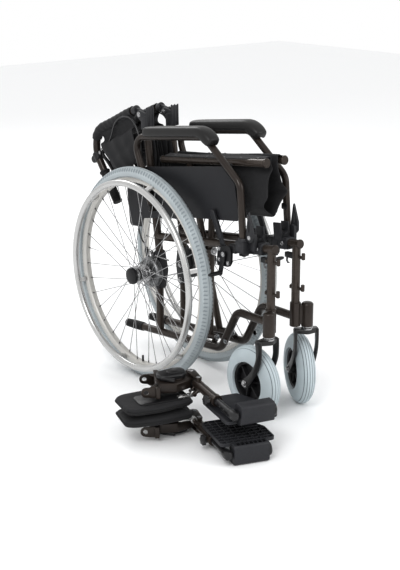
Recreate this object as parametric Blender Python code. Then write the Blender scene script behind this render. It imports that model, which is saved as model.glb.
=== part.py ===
"""Folding self-propelled wheelchair, folded flat, with its two elevating legrests taken off.

Metres, +Z up. The front of the chair faces -Y and the chair's left side is at +X.
The model is worked out with the rear axle at y = 0 and the mid-plane at x = 0,
and is moved at the end so that the origin lies at the middle of its footprint.
"""

import math

import bmesh
import bpy
from mathutils import Matrix, Vector

# Clearance between pieces that touch, and the running gap round a pin
GAP = 0.0003
PIN_PLAY = 0.0004

# Frame tubes
TUBE_R = 0.0110
TUBE_SIDES = 8
BORE_SIDES = 10
SIDE_X = 0.0440
TILT = math.radians(7.0)
UPPER_FRONT_Y = -0.4765
UPPER_FRONT_Z = 0.4617
POST_Y = -0.4638
REAR_POST_Y = 0.002
CANE_KNEE_Z = 0.36
CANE_TOP = (0.0565, 0.730)
LOWER_TUBE = ((0.150, 0.1067), (-0.268, 0.1400), (-0.335, 0.2620))
LOWER_BEND_R = 0.035
TIP_LENGTH = 0.082
TIP_R = 0.0130

# Casters
BARREL_X = 0.0685
BARREL_Y = -0.484
BARREL_R = 0.0160
BARREL_Z = (0.2367, 0.303)
CASTER_R = 0.0975
CASTER_WIDTH = 0.050
CASTER_RIM_R = 0.0560
CASTER_TRAIL = 0.058
CASTER_TURN = {"right": math.radians(1.0), "left": math.radians(27.0)}
CASTER_AXLE_R = 0.0040
STEM_R = 0.0060

# Rear wheels
WHEEL_SEGMENTS = 28
AXLE_Z = 0.305
WHEEL_X = 0.1108
WHEEL_R = 0.305
TYRE_WIDTH = 0.034
RIM_R = (0.262, 0.279)
RIM_WIDTH = 0.024
HANDRIM_X = 0.1537
HANDRIM_R = 0.2645
HANDRIM_TUBE_R = 0.0090
HANDRIM_TABS = 6
SPOKES = 36
SPOKE_R = 0.0010
HUB_X = (0.0890, 0.1480)
HUB_FLANGES = (0.0970, 0.1250)
HUB_FLANGE_R = 0.0240
AXLE_R = 0.0060
DRUM_X = (0.0600, 0.0880)
DRUM_R = 0.0420

# Cross brace and seat rails
RAIL_R = 0.0110
RAIL_X = 0.0313
RAIL_FRONT = (-0.4265, 0.6756)
RAIL_REAR_Y = -0.005
RAIL_SEAT_HEIGHT = 0.0375
BRACE_Y = -0.190
BRACE_Z = 0.155
ARM_R = 0.0095
ARM_OFFSET = 0.0128
SLEEVE_R = 0.0090
SLEEVE_LENGTH = 0.075
BRACE_PIN_R = 0.0045

# Half-folding back
HINGE = (0.072, 0.742)
HINGE_PIN_R = 0.0040
CHEEK_R = 0.0115
CANE_START = (0.0960, 0.7523)
CANE_CORNER = (0.3386, 0.6493)
CANE_BEND_R = 0.068
GRIP_START = (0.262, 0.551)
GRIP_LENGTH = 0.106
GRIP_R = 0.0145
CLAMP_FROM_GRIP = 0.050
LEVER_LENGTH = 0.105

# Armrest
ARM_X = 0.079
ARM_TUBE_R = 0.0095
ARM_PIVOT = (-0.012, 0.495)
ARM_PATH = ((0.069, 0.6825), (-0.242, 0.7225), (-0.3815, 0.6205), (-0.3945, 0.4635))
ARM_BENDS = (0.035, 0.045, 0.040)
ARM_STUD_R = 0.0050
PAD_HALF_WIDTH = 0.0225
PAD_X = 0.083
PAD_HEIGHT = 0.030
PAD_REAR_Y = 0.000
SKIRT_X = (0.0665, 0.0690)
SKIRT_OUTLINE = ((0.112, 0.590), (0.117, 0.521), (0.106, 0.420), (0.045, 0.426), (0.044, 0.452),
                 (-0.185, 0.495), (-0.367, 0.519), (-0.346, 0.616), (-0.297, 0.652))

# Seat-rail bracket with rail cup, armrest socket and latch
BRACKET_HALF_X = 0.0155
CUP_Y = -0.411
CUP_LENGTH = 0.028
LATCH_PIVOT = (-0.4200, 0.488)
LATCH_R = 0.0138
LATCH_TOP_Z = 0.554
LATCH_X = (0.0757, 0.0823)

# Parking brake
BRAKE_PIVOT = (-0.333, 0.429)
SHOE_BAR = (-0.322, 0.377)
LEVER_PIVOT = (-0.318, 0.436)
LEVER_TOP = (-0.270, 0.530)

# Legrest hanger pins on the front posts
HANGER_PIN_Y = -0.490
HANGER_PIN_Z = (0.427, 0.342)
HANGER_PIN_R = 0.0050

# Elevating legrests, in their own frame: X inboard, Y forward, Z up, knee pivot at the origin
LEG_ANGLE = math.radians(20.0)
LEG_TUBE_R = 0.0125
LEG_TUBE = (0.034, 0.155)
EXTENSION_R = 0.0092
EXTENSION = (0.045, 0.243)
HOOK_Y = -0.120
HOOK_Z = (-0.005, -0.090)
FOOT_BLOCK = (0.0125, 0.1050)
FOOT_BLOCK_HALF_X = 0.0255
FOOT_AXLE_R = 0.0075
FOOT_DISC_R = 0.0170
PLATE_REACH = 0.150
PLATE_FRONT = (-0.0140, 0.1280)
CALF_PAD = (0.026, 0.118, 0.185)
CALF_HINGE = (-0.018, 0.0180)
LEGREST_PLACE = {
    "left": ((-0.240, -0.385, 0.0262), (-0.338, -0.943, 0.0), (0.943, -0.338, 0.0)),
    "right": ((-0.236, -0.370, 0.1319), (-0.2415, -0.968, -0.055), (0.968, -0.2415, -0.012)),
}

SCENE = bpy.context.scene
for left_over in list(bpy.data.objects):
    bpy.data.objects.remove(left_over, do_unlink=True)


def vec(x, y, z):
    return Vector((x, y, z))


X_AXIS = vec(1, 0, 0)
Y_AXIS = vec(0, 1, 0)
Z_AXIS = vec(0, 0, 1)
# The fold turns about lines that run forward and up with the side tubes
FOLD_AXIS = vec(0, -math.cos(TILT), math.sin(TILT))
FOLD_UP = vec(0, math.sin(TILT), math.cos(TILT))


# Materials

def material(name, colour, roughness, metallic=0.0):
    made = bpy.data.materials.new(name)
    made.use_nodes = True
    shader = made.node_tree.nodes["Principled BSDF"]
    shader.inputs["Base Color"].default_value = (*colour, 1.0)
    shader.inputs["Roughness"].default_value = roughness
    shader.inputs["Metallic"].default_value = metallic
    made.diffuse_color = (*colour, 1.0)
    return made


BRONZE = ("bronze_paint", (0.045, 0.034, 0.028), 0.35, 0.6)
CHARCOAL = ("charcoal_plastic", (0.035, 0.036, 0.040), 0.55, 0.0)
TYRE = ("grey_tyre", (0.42, 0.49, 0.54), 0.75, 0.0)
SILVER = ("silver_alloy", (0.72, 0.73, 0.74), 0.30, 0.9)
CLOTH = ("black_nylon", (0.018, 0.018, 0.020), 0.85, 0.0)
STEEL = ("zinc_steel", (0.55, 0.56, 0.57), 0.35, 0.9)
RUBBER = ("black_rubber", (0.02, 0.02, 0.02), 0.7, 0.0)


# Mesh building

def rounded(corners, radii, step=math.radians(24.0)):
    """Polyline through the corners, each inner one replaced by an arc."""
    points = [Vector(corners[0])]
    for index in range(1, len(corners) - 1):
        here = Vector(corners[index])
        back = (Vector(corners[index - 1]) - here).normalized()
        ahead = (Vector(corners[index + 1]) - here).normalized()
        half = back.angle(ahead) / 2
        radius = radii[index - 1]
        reach = radius / math.tan(half)
        centre = here + (back + ahead).normalized() * radius / math.sin(half)
        first = here + back * reach - centre
        last = here + ahead * reach - centre
        normal = first.cross(last).normalized()
        turn = math.pi - 2 * half
        count = max(1, math.ceil(turn / step))
        for k in range(count + 1):
            points.append(centre + Matrix.Rotation(turn * k / count, 3, normal) @ first)
    points.append(Vector(corners[-1]))
    return points


def circle(radius, count, phase=0.5):
    return [(radius * math.cos(math.tau * (k + phase) / count),
             radius * math.sin(math.tau * (k + phase) / count)) for k in range(count)]


def close_up(bm):
    bmesh.ops.recalc_face_normals(bm, faces=bm.faces)
    if bm.calc_volume(signed=True) < 0:
        bmesh.ops.reverse_faces(bm, faces=bm.faces)
    return bm


def loft(rings, closed=False):
    """Skin rings of equally many points; the end rings are capped unless the loft closes."""
    bm = bmesh.new()
    made = [[bm.verts.new(point) for point in ring] for ring in rings]
    count = len(made[0])
    pairs = list(zip(made, made[1:]))
    if closed:
        pairs.append((made[-1], made[0]))
    for ring, following in pairs:
        for k in range(count):
            n = (k + 1) % count
            bm.faces.new((ring[k], ring[n], following[n], following[k]))
    if not closed:
        bm.faces.new(made[0][::-1])
        bm.faces.new(made[-1])
    return close_up(bm)


def sweep(path, section, normal, scales=None):
    """Carry a section along a flat path; the section's first axis is the path's normal."""
    rings = []
    normal = Vector(normal).normalized()
    for index, point in enumerate(path):
        before = (point - path[index - 1]).normalized() if index else None
        after = (path[index + 1] - point).normalized() if index + 1 < len(path) else None
        if before is None:
            tangent, stretch = after, 1.0
        elif after is None:
            tangent, stretch = before, 1.0
        else:
            tangent = (before + after).normalized()
            stretch = 1.0 / max(0.7, tangent.dot(after))
        across = tangent.cross(normal).normalized()
        scale = scales[index] if scales else 1.0
        rings.append([point + normal * (a * scale) + across * (b * scale * stretch) for a, b in section])
    return loft(rings)


def tube(path, radius, normal=X_AXIS, sides=TUBE_SIDES):
    return sweep([Vector(point) for point in path], circle(radius, sides), normal)


def rod(start, end, radius, sides=8, end_radius=None):
    start, end = Vector(start), Vector(end)
    direction = (end - start).normalized()
    normal = direction.orthogonal() if abs(direction.dot(X_AXIS)) > 0.9 else X_AXIS
    normal = (normal - direction * normal.dot(direction)).normalized()
    scales = None if end_radius is None else [1.0, end_radius / radius]
    return sweep([start, end], circle(radius, sides), normal, scales)


def revolve(profile, origin, axis, segments, phase=0.5, closed=True):
    """Turn (radius, along) points about an axis. A closed profile makes a ring."""
    axis = Vector(axis).normalized()
    side = Z_AXIS if abs(axis.dot(Z_AXIS)) < 0.9 else X_AXIS
    side = (side - axis * side.dot(axis)).normalized()
    other = axis.cross(side)
    bm = bmesh.new()
    rings = []
    for radius, along in profile:
        base = Vector(origin) + axis * along
        if radius < 1e-7:
            rings.append([bm.verts.new(base)])
            continue
        ring = []
        for k in range(segments):
            angle = math.tau * (k + phase) / segments
            ring.append(bm.verts.new(base + (side * math.cos(angle) + other * math.sin(angle)) * radius))
        rings.append(ring)
    pairs = list(zip(rings, rings[1:]))
    if closed:
        pairs.append((rings[-1], rings[0]))
    for ring, following in pairs:
        for k in range(segments):
            n = (k + 1) % segments
            corners = [ring[k % len(ring)], ring[n % len(ring)],
                       following[n % len(following)], following[k % len(following)]]
            face = []
            for corner in corners:
                if corner not in face:
                    face.append(corner)
            if len(face) > 2:
                bm.faces.new(face)
    return close_up(bm)


def hull(points):
    """Convex outline of flat points, counter-clockwise."""
    points = sorted(set((round(a, 7), round(b, 7)) for a, b in points))

    def half(ordered):
        kept = []
        for point in ordered:
            while len(kept) > 1:
                (ax, ay), (bx, by) = kept[-2], kept[-1]
                if (bx - ax) * (point[1] - ay) - (by - ay) * (point[0] - ax) > 1e-12:
                    break
                kept.pop()
            kept.append(point)
        return kept[:-1]

    return half(points) + half(points[::-1])


def disc(centre, radius, count=8, phase=0.5):
    return [(centre[0] + a, centre[1] + b) for a, b in circle(radius, count, phase)]


def prism(outline, origin, first, second, start, end):
    """Extrude a flat outline, in the plane of two directions, along their cross product."""
    first, second = Vector(first).normalized(), Vector(second).normalized()
    along = first.cross(second)
    rings = []
    for depth in (start, end):
        rings.append([Vector(origin) + first * a + second * b + along * depth for a, b in outline])
    return loft(rings)


def side_plate(outline, start, end):
    """Plate with its outline in Y and Z and its thickness along X."""
    return prism(outline, (0, 0, 0), Y_AXIS, Z_AXIS, start, end)


def box(low, high):
    outline = ((low[1], low[2]), (high[1], low[2]), (high[1], high[2]), (low[1], high[2]))
    return side_plate(outline, low[0], high[0])


def fillet_outline(outline, radius, step=math.radians(35.0)):
    """Round every corner of a flat outline."""
    corners = [Vector((a, b, 0)) for a, b in outline]
    made = []
    for index, here in enumerate(corners):
        before, after = corners[index - 1], corners[(index + 1) % len(corners)]
        back, ahead = (before - here), (after - here)
        half = back.angle(ahead) / 2
        reach = min(radius / math.tan(half), back.length * 0.45, ahead.length * 0.45)
        points = rounded((here + back, here, here + ahead), (reach * math.tan(half),), step)
        made += [(point.x, point.y) for point in points[1:-1]]
    return made


def as_object(bm, name):
    mesh = bpy.data.meshes.new(name)
    bm.to_mesh(mesh)
    bm.free()
    made = bpy.data.objects.new(name, mesh)
    SCENE.collection.objects.link(made)
    return made


def combine(base, others, operation):
    """Join or cut solids with exact Booleans and return the result."""
    main = as_object(base, "base_shape")
    helpers = [as_object(other, "tool_shape") for other in others]
    for helper in helpers:
        modifier = main.modifiers.new("shape", "BOOLEAN")
        modifier.operation = operation
        modifier.solver = "EXACT"
        modifier.object = helper
    graph = bpy.context.evaluated_depsgraph_get()
    mesh = bpy.data.meshes.new_from_object(main.evaluated_get(graph))
    bm = bmesh.new()
    bm.from_mesh(mesh)
    for used in [main] + helpers:
        bpy.data.objects.remove(used, do_unlink=True)
    bpy.data.meshes.remove(mesh)
    # Flat faces that the cuts split are put back together
    bmesh.ops.dissolve_limit(bm, angle_limit=math.radians(0.3), verts=bm.verts, edges=bm.edges)
    return bm


def fuse(base, *others):
    return combine(base, others, "UNION")


def cut(base, *others):
    return combine(base, others, "DIFFERENCE")


def turned(bm, matrix):
    bmesh.ops.transform(bm, matrix=matrix, verts=bm.verts)
    return close_up(bm) if matrix.determinant() < 0 else bm


MIRROR = Matrix.Diagonal((-1.0, 1.0, 1.0, 1.0))
JOINT_POINTS = {}


def add(name, bm, look, origin, parent=None):
    """Make a named piece whose origin lies on its joint's axis."""
    origin = Vector(origin)
    bmesh.ops.translate(bm, verts=bm.verts, vec=-origin)
    made = as_object(bm, name)
    made.data.name = name
    made.data.shade_smooth()
    made.data.set_sharp_from_angle(angle=math.radians(35.0))
    made.data.materials.append(material(name + "_" + look[0], *look[1:]))
    JOINT_POINTS[name] = origin.copy()
    if parent is None:
        made.location = origin
    else:
        made.parent = bpy.data.objects[parent]
        made.location = origin - JOINT_POINTS[parent]
    return made


def add_pair(name, build, look, origin, parent=None, sides=("right", "left")):
    """Make a piece for each side; the left one is built and the right one mirrored."""
    for side in sides:
        bm = build()
        place = Vector(origin)
        if side == "right":
            bm = turned(bm, MIRROR)
            place.x = -place.x
        holder = parent and side + "_" + parent
        add(side + "_" + name, bm, look, place, holder)


# Cross-brace sizes, so that the rails come to rest above the side tubes

def upper_z(y):
    return UPPER_FRONT_Z - (y - UPPER_FRONT_Y) * math.tan(TILT)


def rail_z(y):
    return RAIL_FRONT[1] - (y - RAIL_FRONT[0]) * math.tan(TILT)


def fold_sizes():
    """Inset of the lower pivots, half track when open, arm lengths and both arm angles."""
    upper = (upper_z(BRACE_Y) - BRACE_Z) * math.cos(TILT)
    folded_height = (rail_z(BRACE_Y) - BRACE_Z) * math.cos(TILT)
    open_height = upper + RAIL_SEAT_HEIGHT
    open_x = 0.2
    for _ in range(200):
        inset = (SIDE_X - RAIL_X) / (1 - RAIL_X / open_x)
        spread = SIDE_X + RAIL_X - inset
        length = math.hypot(folded_height, spread)
        open_x = (math.sqrt(length ** 2 - open_height ** 2) + inset) / 2
    folded_angle = math.atan2(spread, folded_height)
    open_angle = math.acos(open_height / length)
    upper_part = RAIL_X / math.sin(folded_angle)
    return inset, open_x, length - upper_part, upper_part, folded_angle, open_angle


PIVOT_INSET, OPEN_X, ARM_LOWER, ARM_UPPER, FOLDED_ANGLE, OPEN_ANGLE = fold_sizes()
BRACE_POINT = vec(0, BRACE_Y, BRACE_Z)
BRACE_X = SIDE_X - PIVOT_INSET
CENTRE = BRACE_POINT + FOLD_UP * (ARM_LOWER * math.cos(FOLDED_ANGLE))
ARM_TOP = (ARM_LOWER + ARM_UPPER) * math.cos(FOLDED_ANGLE)
CANE_DIRECTION = vec(0, CANE_TOP[0] - REAR_POST_Y, CANE_TOP[1] - CANE_KNEE_Z).normalized()


def cane_y(z):
    return REAR_POST_Y + (z - CANE_KNEE_Z) * CANE_DIRECTION.y / CANE_DIRECTION.z


# Side frame

def side_frame():
    x = SIDE_X
    upper_back = REAR_POST_Y + 0.002
    main = tube([(x, UPPER_FRONT_Y, upper_z(UPPER_FRONT_Y)), (x, upper_back, upper_z(upper_back))], TUBE_R)
    plug = rod((x, UPPER_FRONT_Y - 0.003, upper_z(UPPER_FRONT_Y)),
               (x, UPPER_FRONT_Y + 0.004, upper_z(UPPER_FRONT_Y) - 0.001), TUBE_R + 0.0014)
    front = rod((x, POST_Y, 0.245), (x, POST_Y, upper_z(POST_Y) - 0.001), TUBE_R + 0.0004)
    sleeve = rod((x, POST_Y, 0.237), (x, POST_Y, 0.302), TUBE_R + 0.0036)
    barrel_profile = [(0, BARREL_Z[0]), (BARREL_R, BARREL_Z[0]), (BARREL_R, BARREL_Z[1] - 0.006),
                      (BARREL_R * 0.72, BARREL_Z[1] - 0.0012), (0, BARREL_Z[1])]
    barrel = revolve(barrel_profile, (BARREL_X, BARREL_Y, 0), Z_AXIS, 10, closed=False)
    web_outline = hull(disc((x, POST_Y), 0.009, 6) + disc((BARREL_X, BARREL_Y), 0.009, 6))
    web = prism(web_outline, (0, 0, 0), X_AXIS, Y_AXIS, 0.243, 0.296)
    corners = [vec(x, y, z) for y, z in LOWER_TUBE] + [vec(x, POST_Y, LOWER_TUBE[-1][1])]
    lower = tube(rounded(corners, (LOWER_BEND_R, LOWER_BEND_R)), TUBE_R)
    along = (corners[1] - corners[0]).normalized()
    tail = corners[0] - along * 0.012
    tip = rod(corners[0] + along * (TIP_LENGTH - 0.012), tail, TIP_R, 8, TIP_R * 0.86)
    rear = tube(rounded([vec(x, REAR_POST_Y, 0.122), vec(x, REAR_POST_Y, CANE_KNEE_Z),
                         vec(x, *CANE_TOP)], (0.12,)), TUBE_R)
    block = box((x - 0.0125, 0.0400, 0.7080), (x + 0.0125, 0.0605, 0.7370))
    cheek = hull(disc(HINGE, CHEEK_R) + [(0.0410, 0.7200), (0.0410, 0.7480), (0.0580, 0.7200)])
    cheeks = [side_plate(cheek, x + low, x + low + 0.0065) for low in (-0.0125, 0.0060)]
    pin = rod((x - 0.0120, *HINGE), (x + 0.0120, *HINGE), HINGE_PIN_R)
    lug = hull(disc((cane_y(ARM_PIVOT[1]), ARM_PIVOT[1]), 0.012, 6) + disc(ARM_PIVOT, 0.010, 6))
    pivot_plate = side_plate(lug, x + 0.002, x + 0.009)
    eye_x = ARM_X - ARM_TUBE_R
    stub = rod((x + 0.004, *ARM_PIVOT), (eye_x - GAP, *ARM_PIVOT), 0.0075)
    stud = rod((x + 0.006, *ARM_PIVOT), (ARM_X + ARM_TUBE_R + 0.0032, *ARM_PIVOT), ARM_STUD_R)
    head = rod((ARM_X + ARM_TUBE_R + 0.0005, *ARM_PIVOT), (ARM_X + ARM_TUBE_R + 0.0035, *ARM_PIVOT), 0.0085)
    axle_outline = hull(disc((0, AXLE_Z), 0.022) + disc((REAR_POST_Y, AXLE_Z + 0.045), 0.013)
                        + disc((REAR_POST_Y, AXLE_Z - 0.045), 0.013))
    axle_plate = side_plate(axle_outline, x - 0.002, x + 0.0125)
    boss = rod((x + 0.004, 0, AXLE_Z), (DRUM_X[0] - GAP, 0, AXLE_Z), 0.014)
    lower_y = BRACE_Y
    slope = (LOWER_TUBE[1][1] - LOWER_TUBE[0][1]) / (LOWER_TUBE[1][0] - LOWER_TUBE[0][0])
    lower_z = LOWER_TUBE[0][1] + slope * (lower_y - LOWER_TUBE[0][0])
    drop = (BRACE_Z - lower_z) * math.cos(TILT)
    ear = hull(disc((BRACE_X, 0), SLEEVE_R, 6) + disc((x, -drop), 0.0085, 6))
    half = SLEEVE_LENGTH / 2 + 0.0005
    # FOLD_UP crossed with X points along the fold axis
    ears = [prism([(b, a) for a, b in ear], BRACE_POINT, FOLD_UP, X_AXIS, low, low + 0.004)
            for low in (half, -half - 0.004)]
    base = BRACE_POINT + X_AXIS * BRACE_X
    bolt = rod(base - FOLD_AXIS * (half + 0.003), base + FOLD_AXIS * (half + 0.003), BRACE_PIN_R)
    hangers = []
    for z in HANGER_PIN_Z:
        hangers.append(rod((x, POST_Y + 0.019, z), (x, HANGER_PIN_Y, z), 0.0040, 6))
        hangers.append(rod((x, HANGER_PIN_Y, z - 0.0045), (x, HANGER_PIN_Y, z + 0.0120), HANGER_PIN_R, 6))
        hangers.append(rod((x, POST_Y + 0.013, z), (x, POST_Y + 0.018, z), 0.0066, 6))
    catch = box((x - 0.0080, POST_Y + 0.0060, 0.4190), (x + 0.0040, -0.4260, 0.4330))
    hook = box((x - 0.0060, -0.4380, 0.4020), (x - 0.0010, -0.4310, 0.4200))
    return fuse(main, plug, front, sleeve, barrel, web, lower, tip, rear, block, *cheeks, pin,
                pivot_plate, stub, stud, head, axle_plate, boss, *ears, bolt, *hangers, catch, hook)


def side_frame_with_bore():
    """The caster stem runs in a bore of the barrel."""
    bore = rod((BARREL_X, BARREL_Y, BARREL_Z[0] - 0.01), (BARREL_X, BARREL_Y, BARREL_Z[0] + 0.040),
               STEM_R + PIN_PLAY, BORE_SIDES)
    return cut(side_frame(), bore)


def seat_bracket():
    x = SIDE_X
    along = -FOLD_AXIS
    start = vec(x, -0.441, upper_z(-0.441))
    length = 0.069
    clamp = prism([(-BRACKET_HALF_X, -0.0155), (BRACKET_HALF_X, -0.0155), (BRACKET_HALF_X, 0.0150),
                   (-BRACKET_HALF_X, 0.0150)], start, X_AXIS, FOLD_UP, -length, 0.0)
    cup_base = vec(x, CUP_Y, upper_z(CUP_Y))
    cup = prism([(-BRACKET_HALF_X, 0.0100), (BRACKET_HALF_X, 0.0100), (BRACKET_HALF_X, 0.0540),
                 (-BRACKET_HALF_X, 0.0540)], cup_base, X_AXIS, FOLD_UP, -CUP_LENGTH / 2, CUP_LENGTH / 2)
    rail_seat = RAIL_SEAT_HEIGHT
    room = RAIL_R + 0.0006
    trough = prism(hull(disc((0, rail_seat), room, 14) + [(-room, 0.08), (room, 0.08)]), cup_base,
                   X_AXIS, FOLD_UP, -0.03, 0.03)
    arm_end = ARM_PATH[-1]
    outrigger = box((x + 0.008, arm_end[0] - 0.0150, 0.4400), (0.0930, arm_end[0] + 0.0160, 0.4750))
    cheek = box((LATCH_X[0] - 0.0105, LATCH_PIVOT[0] - 0.0115, 0.4560),
                (LATCH_X[0] - 0.0004, LATCH_PIVOT[0] + 0.0125, 0.5000))
    pin = rod((LATCH_X[0] - 0.004, *LATCH_PIVOT), (LATCH_X[1] + 0.0012, *LATCH_PIVOT), 0.0030, 8)
    socket = rod((ARM_X, arm_end[0], arm_end[1] - 0.0020), (ARM_X, arm_end[0], 0.52), ARM_TUBE_R + 0.0016, 12)
    bore = rod(start - along * 0.05, start + along * 0.16, TUBE_R + GAP, TUBE_SIDES)
    solid = fuse(clamp, cup, outrigger, cheek)
    solid = cut(solid, trough, socket, bore)
    return fuse(solid, pin)


def arm_latch():
    y, z = LATCH_PIVOT
    arrow = [(y - LATCH_R * 0.97, z + 0.010), (y - LATCH_R * 0.97, z + 0.018), (y - 0.0100, z + 0.0240),
             (y + 0.0022, LATCH_TOP_Z - 0.003), (y + 0.0030, LATCH_TOP_Z), (y + 0.0055, LATCH_TOP_Z - 0.003),
             (y + 0.0100, z + 0.0240), (y + 0.0118, z + 0.018), (y + 0.0118, z + 0.0085)]
    arrow = arrow[::-1]
    lower = [(y + a, z + b) for a, b in circle(LATCH_R, 12) if b < 0.0075]
    outline = hull(arrow[:3] + arrow[-3:] + lower)
    plate = fuse(side_plate(outline, *LATCH_X),
                 side_plate(hull([(y - 0.0100, z + 0.0150), (y + 0.0100, z + 0.0150), (y - 0.0075, z + 0.0260),
                                  (y + 0.0090, z + 0.0260), (y + 0.0020, LATCH_TOP_Z), (y + 0.0045, LATCH_TOP_Z)]),
                            *LATCH_X))
    slot = side_plate(hull(disc((y, z + 0.0165), 0.0028, 6) + disc((y + 0.001, z + 0.0400), 0.0022, 6)),
                      LATCH_X[0] - 0.01, LATCH_X[1] + 0.01)
    hole = rod((LATCH_X[0] - 0.01, y, z), (LATCH_X[1] + 0.01, y, z), 0.0030 + PIN_PLAY, 10)
    return cut(plate, slot, hole)


def cross_arm(with_stud):
    """Arm from the right lower pivot up to the left seat rail; the other arm is its mirror image."""
    sign = 1.0 if with_stud else -1.0
    shift = FOLD_AXIS * (ARM_OFFSET * sign)
    foot = BRACE_POINT - X_AXIS * BRACE_X
    head = BRACE_POINT + X_AXIS * RAIL_X + FOLD_UP * ARM_TOP
    arm = rod(foot + shift, head + shift, ARM_R)
    half = SLEEVE_LENGTH / 2
    sleeve = rod(foot - FOLD_AXIS * half, foot + FOLD_AXIS * half, SLEEVE_R, 10)
    rail = rod((RAIL_X, RAIL_FRONT[0], rail_z(RAIL_FRONT[0])), (RAIL_X, RAIL_REAR_Y, rail_z(RAIL_REAR_Y)),
               RAIL_R, 10)
    cap = rod((RAIL_X, RAIL_FRONT[0] - 0.0040, rail_z(RAIL_FRONT[0] - 0.0040)),
              (RAIL_X, RAIL_FRONT[0] + 0.0050, rail_z(RAIL_FRONT[0] + 0.0050)), RAIL_R + 0.0012, 10)
    boss = rod(CENTRE + FOLD_AXIS * (0.0006 * sign), CENTRE + FOLD_AXIS * (0.0245 * sign), 0.0125, 10)
    bore = rod(foot - FOLD_AXIS * 0.06, foot + FOLD_AXIS * 0.06, BRACE_PIN_R + PIN_PLAY, BORE_SIDES)
    if with_stud:
        solid = cut(fuse(arm, sleeve, rail, cap, boss), bore)
        stud = rod(CENTRE + FOLD_AXIS * 0.0200, CENTRE - FOLD_AXIS * 0.0290, 0.0050)
        nut = rod(CENTRE - FOLD_AXIS * 0.0250, CENTRE - FOLD_AXIS * 0.0292, 0.0090, 6)
        return fuse(solid, stud, nut)
    hole = rod(CENTRE - FOLD_AXIS * 0.05, CENTRE + FOLD_AXIS * 0.05, 0.0050 + PIN_PLAY, BORE_SIDES)
    return cut(fuse(arm, sleeve, rail, cap, boss), bore, hole)


# Back canes

def handle_direction():
    start = vec(0, *GRIP_START)
    return (start - vec(0, *CANE_CORNER)).normalized()


def upper_cane():
    x = SIDE_X
    along = handle_direction()
    grip = vec(x, *GRIP_START)
    corners = [vec(x, *CANE_START), vec(x, *CANE_CORNER), grip + along * 0.070]
    main = tube(rounded(corners, (CANE_BEND_R,)), TUBE_R)
    lug = side_plate(hull(disc(HINGE, 0.0105) + disc((0.1040, 0.7490), 0.0100)), x - 0.0055, x + 0.0055)
    first = (corners[1] - corners[0]).normalized()
    collar = rod(corners[0] - first * 0.0010, corners[0] + first * 0.016, TUBE_R + 0.0014)
    clamp_at = grip - along * CLAMP_FROM_GRIP
    clamp = rod(clamp_at - along * 0.011, clamp_at + along * 0.011, TUBE_R + 0.0014)
    down = along.cross(X_AXIS).normalized()
    if down.y > 0:
        down.negate()
    pivot = clamp_at + down * 0.0230
    ear_root = clamp_at + down * 0.006
    ear = hull(disc((pivot.y, pivot.z), 0.0065) + disc((ear_root.y, ear_root.z), 0.0080))
    ears = [side_plate(ear, x + low, x + low + 0.0025) for low in (-0.0072, 0.0047)]
    pin = rod((x - 0.0065, pivot.y, pivot.z), (x + 0.0065, pivot.y, pivot.z), 0.0025, 6)
    outer = clamp_at - down * 0.016
    button = rod((x - 0.005, outer.y, outer.z), (x + 0.005, outer.y, outer.z), 0.0075)
    bore = rod((x - 0.03, *HINGE), (x + 0.03, *HINGE), HINGE_PIN_R + PIN_PLAY, BORE_SIDES)
    return cut(fuse(main, lug, collar, clamp, *ears, pin, button), bore)


def hand_lever_pivot():
    along = handle_direction()
    down = along.cross(X_AXIS).normalized()
    if down.y > 0:
        down.negate()
    return vec(SIDE_X, *GRIP_START) - along * CLAMP_FROM_GRIP + down * 0.0230, along, down


def brake_lever():
    pivot, along, down = hand_lever_pivot()
    x = SIDE_X
    section = [(0.0038, 0.0048), (-0.0038, 0.0048), (-0.0038, -0.0048), (0.0038, -0.0048)]
    path = rounded([pivot, pivot + along * 0.030 + down * 0.008, pivot + along * 0.080 + down * 0.018,
                    pivot + along * LEVER_LENGTH + down * 0.020], (0.030, 0.030))
    bar = sweep(path, section, X_AXIS)
    eye = rod((x - 0.0038, pivot.y, pivot.z), (x + 0.0038, pivot.y, pivot.z), 0.0060, 8)
    bore = rod((x - 0.02, pivot.y, pivot.z), (x + 0.02, pivot.y, pivot.z), 0.0025 + PIN_PLAY, 10)
    return cut(fuse(bar, eye), bore)


def push_grip():
    x = SIDE_X
    along = handle_direction()
    start = vec(x, *GRIP_START)
    profile = [(0, 0.0), (GRIP_R + 0.0005, 0.0), (GRIP_R + 0.0005, 0.005), (GRIP_R - 0.0012, 0.008),
               (GRIP_R - 0.0012, 0.030), (GRIP_R, 0.038), (GRIP_R, GRIP_LENGTH - 0.010), (GRIP_R - 0.003, GRIP_LENGTH - 0.002),
               (0, GRIP_LENGTH)]
    solid = revolve(profile, start, along, 10, closed=False)
    bore = rod(start - along * 0.01, start + along * (0.070 + GAP), TUBE_R + GAP, TUBE_SIDES)
    return cut(solid, bore)


def cable_route():
    pivot, along, down = hand_lever_pivot()
    x = 0.0588
    start = pivot + down * 0.0045 - along * 0.008
    return [vec(SIDE_X, start.y, start.z), vec(0.049, 0.264, 0.632), vec(x - 0.0006, 0.236, 0.668),
            vec(x, 0.190, 0.700), vec(x, 0.142, 0.722), vec(x, 0.100, 0.716), vec(x, 0.072, 0.688),
            vec(x, 0.062, 0.640), vec(x, 0.066, 0.580), vec(x, 0.072, 0.520), vec(x, 0.080, 0.460),
            vec(x + 0.001, 0.080, 0.420), vec(x + 0.002, 0.064, 0.388), vec(x + 0.0025, 0.042, 0.3700),
            vec(0.0620, 0.0220, 0.3616)]


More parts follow.
